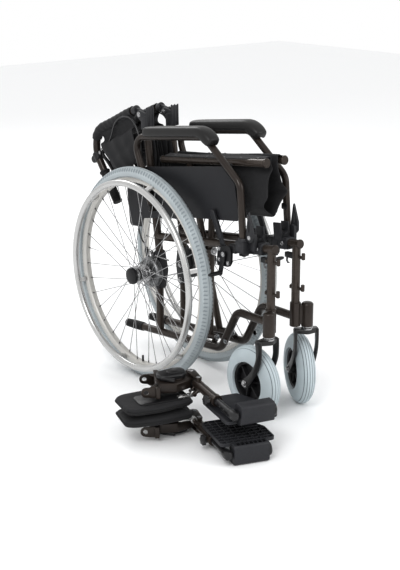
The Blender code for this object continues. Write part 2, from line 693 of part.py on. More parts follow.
def smooth_route(route, step):
    """Points along a smooth curve through the route."""
    found = []
    ends = [route[0] * 2 - route[1]] + list(route) + [route[-1] * 2 - route[-2]]
    for a, b, c, d in zip(ends, ends[1:], ends[2:], ends[3:]):
        count = max(2, round((c - b).length / step))
        for k in range(count):
            t = k / count
            found.append(((b * 2) + (c - a) * t + (a * 2 - b * 5 + c * 4 - d) * t * t
                          + (b * 3 - a - c * 3 + d) * t ** 3) * 0.5)
    found.append(Vector(route[-1]))
    return found


def brake_cable():
    points = smooth_route(cable_route(), 0.034)
    curve = bpy.data.curves.new("cable_path", "CURVE")
    curve.dimensions = "3D"
    curve.bevel_depth = 0.0023
    curve.bevel_resolution = 1
    curve.use_fill_caps = True
    spline = curve.splines.new("POLY")
    spline.points.add(len(points) - 1)
    for slot, point in zip(spline.points, points):
        slot.co = (*point, 1.0)
    carrier = bpy.data.objects.new("cable_path", curve)
    SCENE.collection.objects.link(carrier)
    graph = bpy.context.evaluated_depsgraph_get()
    mesh = bpy.data.meshes.new_from_object(carrier.evaluated_get(graph))
    bm = bmesh.new()
    bm.from_mesh(mesh)
    bpy.data.objects.remove(carrier, do_unlink=True)
    bpy.data.curves.remove(curve)
    bpy.data.meshes.remove(mesh)
    bmesh.ops.remove_doubles(bm, verts=bm.verts, dist=1e-6)
    return close_up(bm)


# Armrest

def arm_path():
    corners = [vec(ARM_X, *ARM_PIVOT)] + [vec(ARM_X, y, z) for y, z in ARM_PATH]
    return rounded(corners, ARM_BENDS, math.radians(22.0))


def armrest_tube():
    main = tube(arm_path(), ARM_TUBE_R)
    eye = rod((ARM_X - ARM_TUBE_R, *ARM_PIVOT), (ARM_X + ARM_TUBE_R, *ARM_PIVOT), 0.0115, 10)
    bore = rod((ARM_X - 0.03, *ARM_PIVOT), (ARM_X + 0.03, *ARM_PIVOT), ARM_STUD_R + PIN_PLAY, BORE_SIDES)
    return cut(fuse(main, eye), bore)


def arm_pad():
    path = arm_path()
    low = PAD_REAR_Y
    kept = [point for point in path if point.y < low - 0.004 and point.y > -0.290 and point.z > 0.655]
    first = path[[point.y < low for point in path].index(True, 2)]
    slope = (ARM_PATH[1][1] - ARM_PATH[0][1]) / (ARM_PATH[1][0] - ARM_PATH[0][0])
    start = vec(ARM_X, low, ARM_PATH[0][1] + slope * (low - ARM_PATH[0][0]))
    tail = (kept[-1] - kept[-2]).normalized()
    stations = [start] + [start.lerp(first, t) for t in (0.03, 0.5)] + kept + [kept[-1] + tail * 0.022]
    stations = [vec(PAD_X, point.y, point.z) for point in stations]
    h, w = PAD_HEIGHT, PAD_HALF_WIDTH
    section = [(-w, 0.001), (-w * 1.02, h * 0.45), (-w * 0.90, h * 0.80), (-w * 0.55, h * 0.97), (0, h),
               (w * 0.55, h * 0.97), (w * 0.90, h * 0.80), (w * 1.02, h * 0.45), (w, 0.001)]
    rings = []
    for index, point in enumerate(stations):
        before = stations[max(0, index - 1)]
        after = stations[min(len(stations) - 1, index + 1)]
        tangent = (after - before).normalized()
        lift = tangent.cross(X_AXIS).normalized()
        if lift.z < 0:
            lift.negate()
        taper = {0: 0.86, len(stations) - 1: 0.62, len(stations) - 2: 0.90}.get(index, 1.0)
        rings.append([point + X_AXIS * (a * taper) + lift * (0.001 + (b - 0.001) * taper) for a, b in section])
    groove = tube(path, ARM_TUBE_R + GAP)
    return cut(loft(rings), groove)


def skirt_guard():
    plate = side_plate(fillet_outline(SKIRT_OUTLINE, 0.012, math.radians(50.0)), *SKIRT_X)
    hole = rod((SKIRT_X[0] - 0.01, *ARM_PIVOT), (SKIRT_X[1] + 0.01, *ARM_PIVOT), 0.0088, 10)
    return cut(plate, hole)


# Rear wheels

def facet(radius, segments):
    """Corner radius of a turned shape whose flat facets lie at the given radius."""
    return radius / math.cos(math.pi / segments)


def rear_tyre():
    segments = WHEEL_SEGMENTS
    w = TYRE_WIDTH / 2
    inner, outer = RIM_R[1] + GAP, facet(WHEEL_R, segments)
    bead = RIM_WIDTH / 2 + 0.0006
    profile = [(inner, -bead), (inner, bead), (outer - 0.010, w), (outer, w * 0.45),
               (outer, -w * 0.45), (outer - 0.010, -w)]
    return revolve(profile, (WHEEL_X, 0, AXLE_Z), X_AXIS, segments)


def spoke(index):
    """One of the crossed spokes, from a hub flange to the rim bed."""
    flange = index % 2
    pair = index // 2
    leading = 1 if pair % 2 else -1
    rim_angle = math.tau * (index + 0.5) / SPOKES
    hub_angle = rim_angle + leading * math.radians(62.0)
    side = 1 if flange else -1
    hub_x = HUB_FLANGES[flange] + leading * 0.0016
    rim_x = WHEEL_X + side * 0.0030 + leading * 0.0008
    centre = vec(0, 0, AXLE_Z)

    def at(radius, angle, x):
        return centre + vec(x, radius * math.sin(angle), radius * math.cos(angle))

    start = at(HUB_FLANGE_R - 0.0032, hub_angle, hub_x)
    end = at(RIM_R[0] + 0.0045, rim_angle, rim_x)
    return rod(start, end, SPOKE_R, 3)


def rear_wheel():
    segments = WHEEL_SEGMENTS
    w = RIM_WIDTH / 2
    inner, outer = RIM_R
    rim_profile = [(inner, -w * 0.60), (inner, w * 0.60), (outer, w), (inner + 0.010, w * 0.62),
                   (inner + 0.010, -w * 0.62), (outer, -w)]
    rim = revolve(rim_profile, (WHEEL_X, 0, AXLE_Z), X_AXIS, segments)
    bore = AXLE_R + PIN_PLAY
    a, b = HUB_X
    left, right = HUB_FLANGES
    hub_profile = [(bore, a), (0.0170, a), (HUB_FLANGE_R, left - 0.003), (HUB_FLANGE_R, left + 0.003),
                   (0.0120, left + 0.006), (0.0120, right - 0.006), (HUB_FLANGE_R, right - 0.003),
                   (HUB_FLANGE_R, right + 0.003), (0.0200, b - 0.005), (0.0160, b), (bore, b)]
    hub = revolve(hub_profile, (0, 0, AXLE_Z), X_AXIS, 10)
    return fuse(rim, hub, *[spoke(index) for index in range(SPOKES)])


def handrim():
    ring = []
    segments = WHEEL_SEGMENTS
    for along, radial in circle(HANDRIM_TUBE_R, 6):
        ring.append((HANDRIM_R + radial, along))
    hoop = revolve(ring, (HANDRIM_X, 0, AXLE_Z), X_AXIS, segments)
    rim_face = WHEEL_X + RIM_WIDTH / 2 + GAP
    tabs = []
    for index in range(HANDRIM_TABS):
        angle = math.tau * (index + 0.25) / HANDRIM_TABS
        radial = vec(0, math.sin(angle), math.cos(angle))
        rim_radius = RIM_R[1] - 0.006
        inner = HANDRIM_R - 0.0035
        outline = [(rim_face, rim_radius - 0.0065), (rim_face, rim_radius + 0.0020),
                   (rim_face + 0.0030, rim_radius + 0.0020), (HANDRIM_X - 0.002, inner + 0.006),
                   (HANDRIM_X - 0.002, inner), (rim_face + 0.0030, rim_radius - 0.0065)]
        origin = vec(0, 0, AXLE_Z)
        tabs.append(prism(outline, origin, X_AXIS, radial, -0.007, 0.007))
    return fuse(hoop, *tabs)


def brake_drum():
    a, b = DRUM_X
    profile = [(0, a), (0.030, a), (0.034, a + 0.0045), (DRUM_R, a + 0.0045), (DRUM_R, b - 0.005),
               (DRUM_R - 0.004, b), (AXLE_R, b), (AXLE_R, HUB_X[1] + 0.0006), (0.0160, HUB_X[1] + 0.0006),
               (0.0150, HUB_X[1] + 0.0045), (0, HUB_X[1] + 0.0052)]
    drum = revolve(profile, (0, 0, AXLE_Z), X_AXIS, 10, closed=False)
    arm = side_plate(hull(disc((0.004, AXLE_Z + 0.012), 0.009) + disc((0.019, 0.356), 0.0050)), a + 0.0002, a + 0.0044)
    return fuse(drum, arm)


# Parking brake

def brake_clamp_y():
    return -0.3560


def parking_body():
    x = SIDE_X
    y = brake_clamp_y()
    z = upper_z(y)
    along = -FOLD_AXIS
    centre = vec(x, y, z)
    ring = rod(centre - along * 0.0125, centre + along * 0.0125, TUBE_R + 0.0048, 10)
    bridge = box((x + 0.008, y - 0.010, z - 0.013), (0.0820, y + 0.014, z + 0.010))
    outline = hull([(-0.356, 0.441), (-0.352, 0.452), (-0.305, 0.446), (-0.300, 0.400), (-0.306, 0.393),
                    (-0.347, 0.396), (-0.355, 0.408)])
    plate = side_plate(outline, 0.0795, 0.0885)
    bore = rod(centre - along * 0.05, centre + along * 0.05, TUBE_R + GAP, TUBE_SIDES)
    body = cut(fuse(ring, bridge, plate), bore)
    shoe_pin = rod((0.0840, *BRAKE_PIVOT), (0.0945, *BRAKE_PIVOT), 0.0032)
    lever_pin = rod((0.0735, *LEVER_PIVOT), (0.0840, *LEVER_PIVOT), 0.0032)
    return fuse(body, shoe_pin, lever_pin)


def parking_lever():
    low, high = 0.0742, 0.0792
    y, z = LEVER_PIVOT
    top = vec(0, *LEVER_TOP)
    base = vec(0, y, z)
    along = (top - base).normalized()
    neck = base + along * 0.045
    bar = side_plate(hull(disc((y, z), 0.0080) + disc((top.y, top.z), 0.0058)), low, high)
    sleeve = rod((0.0767, neck.y, neck.z), (0.0767, top.y, top.z), 0.0066)
    hole = rod((low - 0.01, y, z), (high + 0.01, y, z), 0.0032 + PIN_PLAY, 10)
    return cut(fuse(bar, sleeve), hole)


def parking_shoe():
    low, high = 0.0890, 0.0930
    plate = side_plate(hull(disc(BRAKE_PIVOT, 0.0080) + disc(SHOE_BAR, 0.0075)), low, high)
    bar = rod((low + 0.001, *SHOE_BAR), (0.1350, *SHOE_BAR), 0.0055)
    hole = rod((low - 0.01, *BRAKE_PIVOT), (high + 0.01, *BRAKE_PIVOT), 0.0032 + PIN_PLAY, 10)
    return cut(fuse(plate, bar), hole)


# Casters, in their own frame: stem on Z, wheel trailing along +Y

def caster_fork():
    top = BARREL_Z[0] - GAP * 2
    half = CASTER_WIDTH / 2 + 0.0018
    thick = 0.0050
    crown_outline = hull(disc((0, 0), 0.0165) + [(-half - thick, 0.004), (half + thick, 0.004),
                                                 (-half - thick, 0.022), (half + thick, 0.022)])
    crown = prism(crown_outline, (0, 0, 0), X_AXIS, Y_AXIS, top - 0.022, top - 0.006)
    race = rod((0, 0, top - 0.008), (0, 0, top), 0.0140, 10)
    stem = rod((0, 0, top - 0.004), (0, 0, top + 0.036), STEM_R)
    leg = hull([(0.002, top - 0.007), (0.022, top - 0.007), (0.026, top - 0.020), (0.000, top - 0.021)])
    foot = hull([(0.000, top - 0.020), (0.026, top - 0.020)] + disc((CASTER_TRAIL, CASTER_R), 0.0120, 10))
    parts = [race, stem]
    for low in (-half - thick, half):
        parts.append(side_plate(foot, low, low + thick))
        parts.append(side_plate(leg, low, low + thick))
    axle = rod((-half - thick - 0.005, CASTER_TRAIL, CASTER_R), (half + thick + 0.005, CASTER_TRAIL, CASTER_R),
               CASTER_AXLE_R)
    heads = [rod((s * (half + thick - 0.001), CASTER_TRAIL, CASTER_R),
                 (s * (half + thick + 0.0048), CASTER_TRAIL, CASTER_R), 0.0075, 6) for s in (-1, 1)]
    return fuse(crown, *parts, axle, *heads)


def caster_wheel():
    w = CASTER_WIDTH / 2
    r = CASTER_RIM_R
    bore = CASTER_AXLE_R + PIN_PLAY
    hub_w = w + 0.0010
    profile = [(bore, -hub_w), (0.0120, -hub_w), (0.0140, -0.0050), (r - 0.009, -0.0050), (r, -w * 0.70),
               (r, w * 0.70), (r - 0.009, 0.0050), (0.0140, 0.0050), (0.0120, hub_w), (bore, hub_w)]
    wheel = revolve(profile, (0, CASTER_TRAIL, CASTER_R), X_AXIS, 14)
    ribs = []
    for index in range(5):
        angle = math.tau * index / 5
        radial = vec(0, math.sin(angle), math.cos(angle))
        outline = [(-w * 0.52, 0.0120), (w * 0.52, 0.0120), (w * 0.52, r - 0.0070), (-w * 0.52, r - 0.0070)]
        ribs.append(prism(outline, (0, CASTER_TRAIL, CASTER_R), X_AXIS, radial, -0.0018, 0.0018))
    return fuse(wheel, *ribs)


def caster_tyre():
    segments = 22
    w = CASTER_WIDTH / 2
    inner, outer = CASTER_RIM_R + GAP, facet(CASTER_R, segments)
    inner = facet(inner, segments)
    profile = [(inner, -w * 0.72), (inner, w * 0.72), (outer - 0.013, w), (outer, w * 0.50),
               (outer, -w * 0.50), (outer - 0.013, -w)]
    return revolve(profile, (0, CASTER_TRAIL, CASTER_R), X_AXIS, segments)


def caster_place(side):
    x = BARREL_X if side == "left" else -BARREL_X
    return Matrix.Translation((x, BARREL_Y, 0)) @ Matrix.Rotation(-CASTER_TURN[side], 4, "Z")


# Cloth, one half panel for each side

def thick_sheet(grid, thickness):
    """Closed solid round a grid of points, thickened across the sheet."""
    rows, columns = len(grid), len(grid[0])
    bm = bmesh.new()
    fronts, backs = [], []
    for i in range(rows):
        front, back = [], []
        for j in range(columns):
            down = grid[min(i + 1, rows - 1)][j] - grid[max(i - 1, 0)][j]
            across = grid[i][min(j + 1, columns - 1)] - grid[i][max(j - 1, 0)]
            normal = down.cross(across).normalized() * (thickness / 2)
            front.append(bm.verts.new(grid[i][j] + normal))
            back.append(bm.verts.new(grid[i][j] - normal))
        fronts.append(front)
        backs.append(back)
    for i in range(rows - 1):
        for j in range(columns - 1):
            bm.faces.new((fronts[i][j], fronts[i][j + 1], fronts[i + 1][j + 1], fronts[i + 1][j]))
            bm.faces.new((backs[i][j], backs[i + 1][j], backs[i + 1][j + 1], backs[i][j + 1]))
    edge = [(i, 0) for i in range(rows)] + [(rows - 1, j) for j in range(1, columns)]
    edge += [(i, columns - 1) for i in range(rows - 2, -1, -1)] + [(0, j) for j in range(columns - 2, 0, -1)]
    for (a, b), (c, d) in zip(edge, edge[1:] + edge[:1]):
        bm.faces.new((fronts[a][b], fronts[c][d], backs[c][d], backs[a][b]))
    return close_up(bm)


def smooth(t):
    t = min(1.0, max(0.0, t))
    return t * t * (3 - 2 * t)


def seat_half(bulge):
    """Seat cloth from the rail down into the fold between the arms; it bellies out at the front."""
    grid = []
    for i in range(9):
        y = -0.020 - 0.400 * i / 8
        row = []
        belly = smooth((-y - 0.300) / 0.100) * bulge
        for j in range(7):
            t = j / 6
            depth = 0.142 * t
            inward = 0.0186 - 0.0162 * t + 0.0006 * math.sin(90.0 * y + 5 * t)
            x = inward + belly * math.sin(math.pi * max(0.0, t - 0.17) / 0.83) ** 1.4
            row.append(vec(x, y, rail_z(y) + 0.003 - depth))
        grid.append(row)
    return thick_sheet(grid, 0.0022)


def lower_back_half():
    """Lower back cloth, gathered in a zigzag between the lower canes."""
    zigzag = [(0.0324, 0.002), (0.0250, 0.018), (0.0170, 0.006), (0.0110, 0.026), (0.0040, 0.010), (0.0014, 0.036)]
    grid = []
    for i in range(7):
        z = 0.470 + 0.228 * i / 6
        row = []
        for x, back in zigzag:
            sway = 0.004 * math.sin(i * 0.9 + x * 90)
            row.append(vec(x, cane_y(z) + back + sway, z))
        grid.append(row)
    return thick_sheet(grid, 0.0020)


def upper_back_half():
    """Upper back cloth, hanging in a deep fold from the turned-down cane."""
    start = vec(0, *CANE_START)
    along = (vec(0, *CANE_CORNER) - start).normalized()
    down = vec(0, along.z, -along.y)
    grid = []
    for i in range(9):
        s = 0.022 + 0.158 * i / 8
        row = []
        for j in range(7):
            t = j / 6
            depth = 0.150 * t * (1 - 0.18 * smooth(i / 8)) - 0.004
            drift = 0.080 * smooth(t * 1.3) * (0.35 + 0.65 * i / 8)
            x = 0.0322 - 0.0300 * smooth(t * 1.15) + 0.0005 * math.sin(i * 1.3 + j)
            point = start + along * (s + drift) + down * depth
            row.append(vec(x, point.y, point.z))
        grid.append(row)
    return thick_sheet(grid, 0.0020)


# Legrests, built for the left side in their own frame

LEG_DOWN = vec(0, math.sin(LEG_ANGLE), -math.cos(LEG_ANGLE))
LEG_FRONT = vec(0, math.cos(LEG_ANGLE), math.sin(LEG_ANGLE))


def leg_point(down, front, x=0.0):
    return LEG_DOWN * down + LEG_FRONT * front + X_AXIS * x


def hanger():
    outline = hull([(-0.090, -0.072), (-0.090, 0.020), (-0.030, 0.024), (-0.004, 0.018), (0.016, 0.006),
                    (0.016, -0.014), (-0.006, -0.040), (-0.040, -0.066)])
    body = side_plate(outline, -0.0160, 0.0160)
    ratchet = side_plate(hull(disc((-0.040, -0.016), 0.026, 10) + disc((-0.070, -0.030), 0.022, 10)), -FOOT_BLOCK_HALF_X, -0.010)
    spine = side_plate([(-0.096, -0.098), (-0.084, -0.098), (-0.084, 0.020), (-0.096, 0.020)], -0.0150, 0.0150)
    hooks = []
    holes = []
    for z in HOOK_Z:
        plate = hull(disc((0, HOOK_Y), 0.0130, 10) + [(-0.0150, -0.088), (0.0150, -0.088)])
        hooks.append(prism(plate, (0, 0, 0), X_AXIS, Y_AXIS, z - 0.0025, z + 0.0025))
        holes.append(rod((0, HOOK_Y, z - 0.01), (0, HOOK_Y, z + 0.01), HANGER_PIN_R + 0.0008, 8))
    pivot = rod((-0.0225, 0, 0), (0.0225, 0, 0), 0.0050)
    notch = rod((-0.0165, 0, 0), (-0.030, 0, 0), 0.0190, 12)
    return fuse(cut(fuse(body, ratchet, spine, *hooks), *holes, notch), pivot)


def leg_tube():
    outer = rod(leg_point(LEG_TUBE[0], 0), leg_point(LEG_TUBE[1], 0), LEG_TUBE_R)
    cheeks = []
    reach = LEG_TUBE[0] + 0.012
    tip = leg_point(reach, 0)
    outline = hull(disc((0, 0), 0.0125, 7) + disc((tip.y, tip.z), 0.0085, 6))
    for low in (-0.0202, 0.0164):
        cheeks.append(side_plate(outline, low, low + 0.0038))
    bridge_outline = hull(disc((tip.y, tip.z), 0.0080, 6))
    bridge = side_plate(bridge_outline, -0.0195, 0.0195)
    boss = rod(leg_point(0.142, -0.006), leg_point(0.142, -LEG_TUBE_R - 0.006), 0.0085)
    rib = rod(leg_point(LEG_TUBE[1] - 0.014, 0), leg_point(LEG_TUBE[1] - 0.0005, 0), LEG_TUBE_R + 0.0022)
    arm = rod(leg_point(0.0370, *CALF_HINGE), leg_point(0.0670, *CALF_HINGE), 0.0050)
    brackets = [rod(leg_point(down, -0.004, 0.004), leg_point(down, *CALF_HINGE), 0.0038, 6) for down in (0.0405, 0.0635)]
    bore = rod(leg_point(EXTENSION[0] - 0.002, 0), leg_point(LEG_TUBE[1] + 0.02, 0), EXTENSION_R + GAP)
    knee = rod((-0.04, 0, 0), (0.04, 0, 0), 0.0050 + PIN_PLAY, BORE_SIDES)
    screw = rod(leg_point(0.142, -0.005), leg_point(0.142, -0.05), 0.0035 + PIN_PLAY, 10)
    return cut(fuse(outer, *cheeks, bridge, boss, rib, arm, *brackets), bore, knee, screw)


def extension():
    end = EXTENSION[1]
    main = rod(leg_point(EXTENSION[0], 0), leg_point(end + 0.004, 0), EXTENSION_R)
    elbow = rod(leg_point(end - 0.016, 0), leg_point(end + 0.014, 0), 0.0120)
    axle = rod(leg_point(end, 0), leg_point(end, FOOT_BLOCK[1] + 0.006), FOOT_AXLE_R)
    face = FOOT_BLOCK[1] + 0.0005
    plate = rod(leg_point(end, face), leg_point(end, face + 0.0065), FOOT_DISC_R, 12)
    bolt = rod(leg_point(end, face + 0.005), leg_point(end, face + 0.0110), 0.0062, 6)
    return fuse(main, elbow, axle, plate, bolt)


def footplate():
    end = EXTENSION[1]
    a, b = FOOT_BLOCK
    half = FOOT_BLOCK_HALF_X
    outline = fillet_outline([(-half, -0.018), (half, -0.018), (half, 0.018), (-half, 0.018)], 0.008)
    block = prism(outline, leg_point(end, 0), X_AXIS, LEG_DOWN, a, b)
    low, high = 0.0180, 0.0230
    near, far = end - 0.004, end - PLATE_REACH
    inner, outer = PLATE_FRONT
    corners = [(near, inner), (near, outer), (end - 0.072, outer), (far, outer - 0.042), (far, inner + 0.010),
               (far + 0.012, inner)]
    sheet = loft([[leg_point(down, front, x) for down, front in corners] for x in (low, high)])
    ribs = []
    for front, top in ((inner + 0.002, far + 0.016), (0.034, far + 0.004), (0.080, far + 0.004)):
        ribs.append(loft([[leg_point(near - 0.002, front, x), leg_point(near - 0.002, front + 0.004, x),
                           leg_point(top, front + 0.004, x), leg_point(top, front, x)]
                          for x in (high - 0.001, high + 0.0050)]))
    for down in (end - 0.060, end - 0.108):
        ribs.append(loft([[leg_point(down, inner + 0.004, x), leg_point(down, outer - 0.030, x),
                           leg_point(down + 0.004, outer - 0.030, x), leg_point(down + 0.004, inner + 0.004, x)]
                          for x in (high - 0.001, high + 0.0048)]))
    bore = rod(leg_point(end, -0.02), leg_point(end, b + 0.03), FOOT_AXLE_R + PIN_PLAY, BORE_SIDES)
    return cut(fuse(block, sheet, *ribs), bore)


def calf_pad():
    thick, wide, long = CALF_PAD
    low = 0.0250
    front, back = -0.020, -0.020 - long
    top, bottom = -0.035, -0.035 + wide
    rings = []
    for x, inset in ((low, 0.006), (low + 0.004, 0.0), (low + thick * 0.55, 0.0), (low + thick * 0.88, 0.006),
                     (low + thick, 0.020)):
        flat = fillet_outline([(top + inset, back + inset), (bottom - inset, back + inset),
                               (bottom - inset, front - inset), (top + inset, front - inset)], 0.022 - inset * 0.6)
        rings.append([leg_point(down, ahead, x) for down, ahead in flat])
    pad = loft(rings)
    tab = loft([[leg_point(down, ahead, x) for down, ahead in
                 ((0.0460, -0.0160), (0.0460, -0.060), (0.0580, -0.060), (0.0580, -0.0160))]
                for x in (0.0195, 0.0270)])
    knuckle = rod(leg_point(0.0450, *CALF_HINGE), leg_point(0.0590, *CALF_HINGE), 0.0084, 10)
    bore = rod(leg_point(0.020, *CALF_HINGE), leg_point(0.090, *CALF_HINGE), 0.0050 + PIN_PLAY, BORE_SIDES)
    return cut(fuse(pad, tab, knuckle), bore)


def knob():
    base = LEG_TUBE_R + 0.006 + GAP
    stem = rod(leg_point(0.142, -0.0130), leg_point(0.142, -base - 0.004), 0.0035)
    grip = rod(leg_point(0.142, -base), leg_point(0.142, -base - 0.012), 0.0125, 8)
    return fuse(stem, grip)


def leg_place(side):
    knee, down, front = (Vector(part) for part in LEGREST_PLACE[side])
    down.normalize()
    front = (front - down * front.dot(down)).normalized()
    inboard = down.cross(front) if side == "left" else front.cross(down)
    # Local Y and Z written with the tube's down and front directions
    local_y = down * math.sin(LEG_ANGLE) + front * math.cos(LEG_ANGLE)
    local_z = -down * math.cos(LEG_ANGLE) + front * math.sin(LEG_ANGLE)
    if side == "left" and inboard.z < 0 or side == "right" and inboard.z > 0:
        inboard.negate()
    matrix = Matrix((inboard, local_y, local_z)).transposed().to_4x4()
    matrix.translation = knee
    return matrix


# Assembly

def build_side_frames():
    origin = (BRACE_X, BRACE_Y, BRACE_Z)
    add_pair("side_frame", side_frame_with_bore, BRONZE, origin)


def build_folding():
    right_foot = BRACE_POINT - X_AXIS * BRACE_X
    add("right_cross_arm", cross_arm(True), BRONZE, right_foot, "right_side_frame")
    add("left_cross_arm", turned(cross_arm(False), MIRROR), BRONZE, CENTRE, "right_cross_arm")
    for side, holder, sign in (("left", "right_cross_arm", 1), ("right", "left_cross_arm", -1)):
        bm = seat_half(0.020 if side == "left" else 0.036)
        bm = bm if sign > 0 else turned(bm, MIRROR)
        add(side + "_seat_sling", bm, CLOTH, (sign * RAIL_X, BRACE_Y, rail_z(BRACE_Y)), holder)
    # The left side is carried by the arm that turns on its lower tube
    left_side = bpy.data.objects["left_side_frame"]
    left_side.parent = bpy.data.objects["left_cross_arm"]
    left_side.location = JOINT_POINTS["left_side_frame"] - JOINT_POINTS["left_cross_arm"]


def build_upper_frame():
    add_pair("seat_bracket", seat_bracket, CHARCOAL, (SIDE_X, CUP_Y, upper_z(CUP_Y)), "side_frame")
    add_pair("arm_latch", arm_latch, CHARCOAL, (ARM_X, *LATCH_PIVOT), "seat_bracket")
    add_pair("upper_cane", upper_cane, BRONZE, (SIDE_X, *HINGE), "side_frame")
    add_pair("push_grip", push_grip, RUBBER, (SIDE_X, *GRIP_START), "upper_cane")
    pivot, _, _ = hand_lever_pivot()
    add_pair("brake_lever", brake_lever, CHARCOAL, pivot, "upper_cane")
    add_pair("brake_cable", brake_cable, RUBBER, cable_route()[-1], "side_frame")
    add_pair("lower_back_sling", lower_back_half, CLOTH, (SIDE_X, cane_y(0.58), 0.58), "side_frame")
    middle = vec(SIDE_X, *CANE_START).lerp(vec(SIDE_X, *CANE_CORNER), 0.4)
    add_pair("upper_back_sling", upper_back_half, CLOTH, middle, "upper_cane")
    add_pair("armrest_tube", armrest_tube, BRONZE, (ARM_X, *ARM_PIVOT), "side_frame")
    add_pair("arm_pad", arm_pad, CHARCOAL, (PAD_X, -0.13, 0.72), "armrest_tube")
    add_pair("skirt_guard", skirt_guard, CHARCOAL, (SKIRT_X[0], *ARM_PIVOT), "armrest_tube")


def build_wheels():
    axle = (WHEEL_X, 0, AXLE_Z)
    add_pair("brake_drum", brake_drum, STEEL, axle, "side_frame")
    add_pair("rear_wheel", rear_wheel, SILVER, axle, "side_frame")
    add_pair("rear_tyre", rear_tyre, TYRE, axle, "rear_wheel")
    add_pair("handrim", handrim, SILVER, axle, "rear_wheel")
    add_pair("parking_body", parking_body, CHARCOAL, (SIDE_X, brake_clamp_y(), upper_z(brake_clamp_y())),
             "side_frame")
    add_pair("parking_lever", parking_lever, CHARCOAL, (0.0767, *LEVER_PIVOT), "parking_body")
    add_pair("parking_shoe", parking_shoe, CHARCOAL, (0.0910, *BRAKE_PIVOT), "parking_body")
    for side in ("right", "left"):
        place = caster_place(side)
        axle_point = place @ vec(0, CASTER_TRAIL, CASTER_R)
        add(side + "_caster_fork", turned(caster_fork(), place), BRONZE, place @ vec(0, 0, BARREL_Z[0]),
            side + "_side_frame")
        add(side + "_caster_wheel", turned(caster_wheel(), place), CHARCOAL, axle_point, side + "_caster_fork")
        add(side + "_caster_tyre", turned(caster_tyre(), place), TYRE, axle_point, side + "_caster_wheel")


def build_legrests():
    for side in ("left", "right"):
        place = leg_place(side)
        add(side + "_hanger", turned(hanger(), place), CHARCOAL, place @ vec(0, 0, 0))
        add(side + "_leg_tube", turned(leg_tube(), place), BRONZE, place @ vec(0, 0, 0), side + "_hanger")
        add(side + "_extension", turned(extension(), place), BRONZE, place @ leg_point(EXTENSION[1], 0),
            side + "_leg_tube")
        add(side + "_footplate", turned(footplate(), place), CHARCOAL, place @ leg_point(EXTENSION[1], 0.06),
            side + "_extension")
        add(side + "_calf_pad", turned(calf_pad(), place), CLOTH, place @ leg_point(0.052, *CALF_HINGE),
            side + "_leg_tube")
        add(side + "_knob", turned(knob(), place), CHARCOAL, place @ leg_point(0.142, -0.02), side + "_leg_tube")


def centre_on_floor():
    """Move the whole model so that the middle of its footprint is at the origin."""
    bpy.context.view_layer.update()
    corners = []
    for made in bpy.data.objects:
        if made.type == "MESH":
            corners += [made.matrix_world @ vertex.co for vertex in made.data.vertices]
    low = [min(corner[axis] for corner in corners) for axis in range(3)]
    high = [max(corner[axis] for corner in corners) for axis in range(3)]
    shift = vec(-(low[0] + high[0]) / 2, -(low[1] + high[1]) / 2, -low[2])
    for made in bpy.data.objects:
        if made.parent is None:
            made.location += shift
    bpy.context.view_layer.update()
    return shift, low, high


build_side_frames()
build_folding()
build_upper_frame()
build_wheels()
build_legrests()
SHIFT, LOW, HIGH = centre_on_floor()
print("shift", [round(value, 6) for value in SHIFT])
print("bounds", [round(value, 4) for value in LOW], [round(value, 4) for value in HIGH])
print("fold", [round(value, 6) for value in (PIVOT_INSET, OPEN_X, ARM_LOWER, ARM_UPPER,
                                              math.degrees(FOLDED_ANGLE), math.degrees(OPEN_ANGLE))])
for made in bpy.data.objects:
    print("piece", made.name, sum(len(face.vertices) - 2 for face in made.data.polygons),
          [round(value, 6) for value in made.matrix_world.translation])
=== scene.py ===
"""Folding wheelchair, folded flat, with its two elevating legrests lying beside it.

Sizes are metres. Pieces are laid out with the rear axle at y = 0 and the chair's middle at x = 0,
front towards -Y and the chair's left side at +X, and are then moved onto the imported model.
"""

import math
import bpy
from mathutils import Matrix, Vector


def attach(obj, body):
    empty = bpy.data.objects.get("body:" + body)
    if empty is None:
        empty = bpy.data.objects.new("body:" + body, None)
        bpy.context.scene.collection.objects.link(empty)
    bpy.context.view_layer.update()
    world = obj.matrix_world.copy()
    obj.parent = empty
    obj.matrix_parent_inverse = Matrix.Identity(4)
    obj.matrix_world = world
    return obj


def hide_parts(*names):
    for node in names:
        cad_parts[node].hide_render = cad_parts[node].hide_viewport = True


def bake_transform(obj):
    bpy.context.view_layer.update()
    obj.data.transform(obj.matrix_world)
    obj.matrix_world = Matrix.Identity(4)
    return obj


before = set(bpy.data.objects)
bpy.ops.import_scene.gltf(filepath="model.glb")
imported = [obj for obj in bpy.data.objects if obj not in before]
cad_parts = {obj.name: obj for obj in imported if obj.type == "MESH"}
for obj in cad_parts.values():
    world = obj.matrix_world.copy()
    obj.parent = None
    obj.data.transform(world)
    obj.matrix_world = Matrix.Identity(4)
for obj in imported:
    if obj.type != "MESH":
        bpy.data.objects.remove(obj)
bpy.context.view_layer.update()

bpy.ops.object.select_all(action="DESELECT")


# Camera. It stands in front of the chair's right side, a little above the handles, with a long
# lens. Its place and direction were solved together with the chair's main sizes.
MOVE = Vector((0.146502, 0.177357, 0.0))
eye = Vector((-2.11589762, -2.67527157, 1.28070735)) + MOVE
ahead = Vector((0.61121978, 0.73669214, -0.289301))
sideways = Vector((0.76900129, -0.63923975, -0.00309056))
bpy.ops.object.camera_add(location=eye)
camera = bpy.context.object
turn = Matrix((sideways, sideways.cross(ahead), -ahead)).transposed()
camera.matrix_world = Matrix.Translation(eye) @ turn.to_4x4()
camera.data.sensor_width = 36.0
camera.data.lens = 77.8
camera.data.clip_start = 0.05
bpy.context.scene.camera = camera


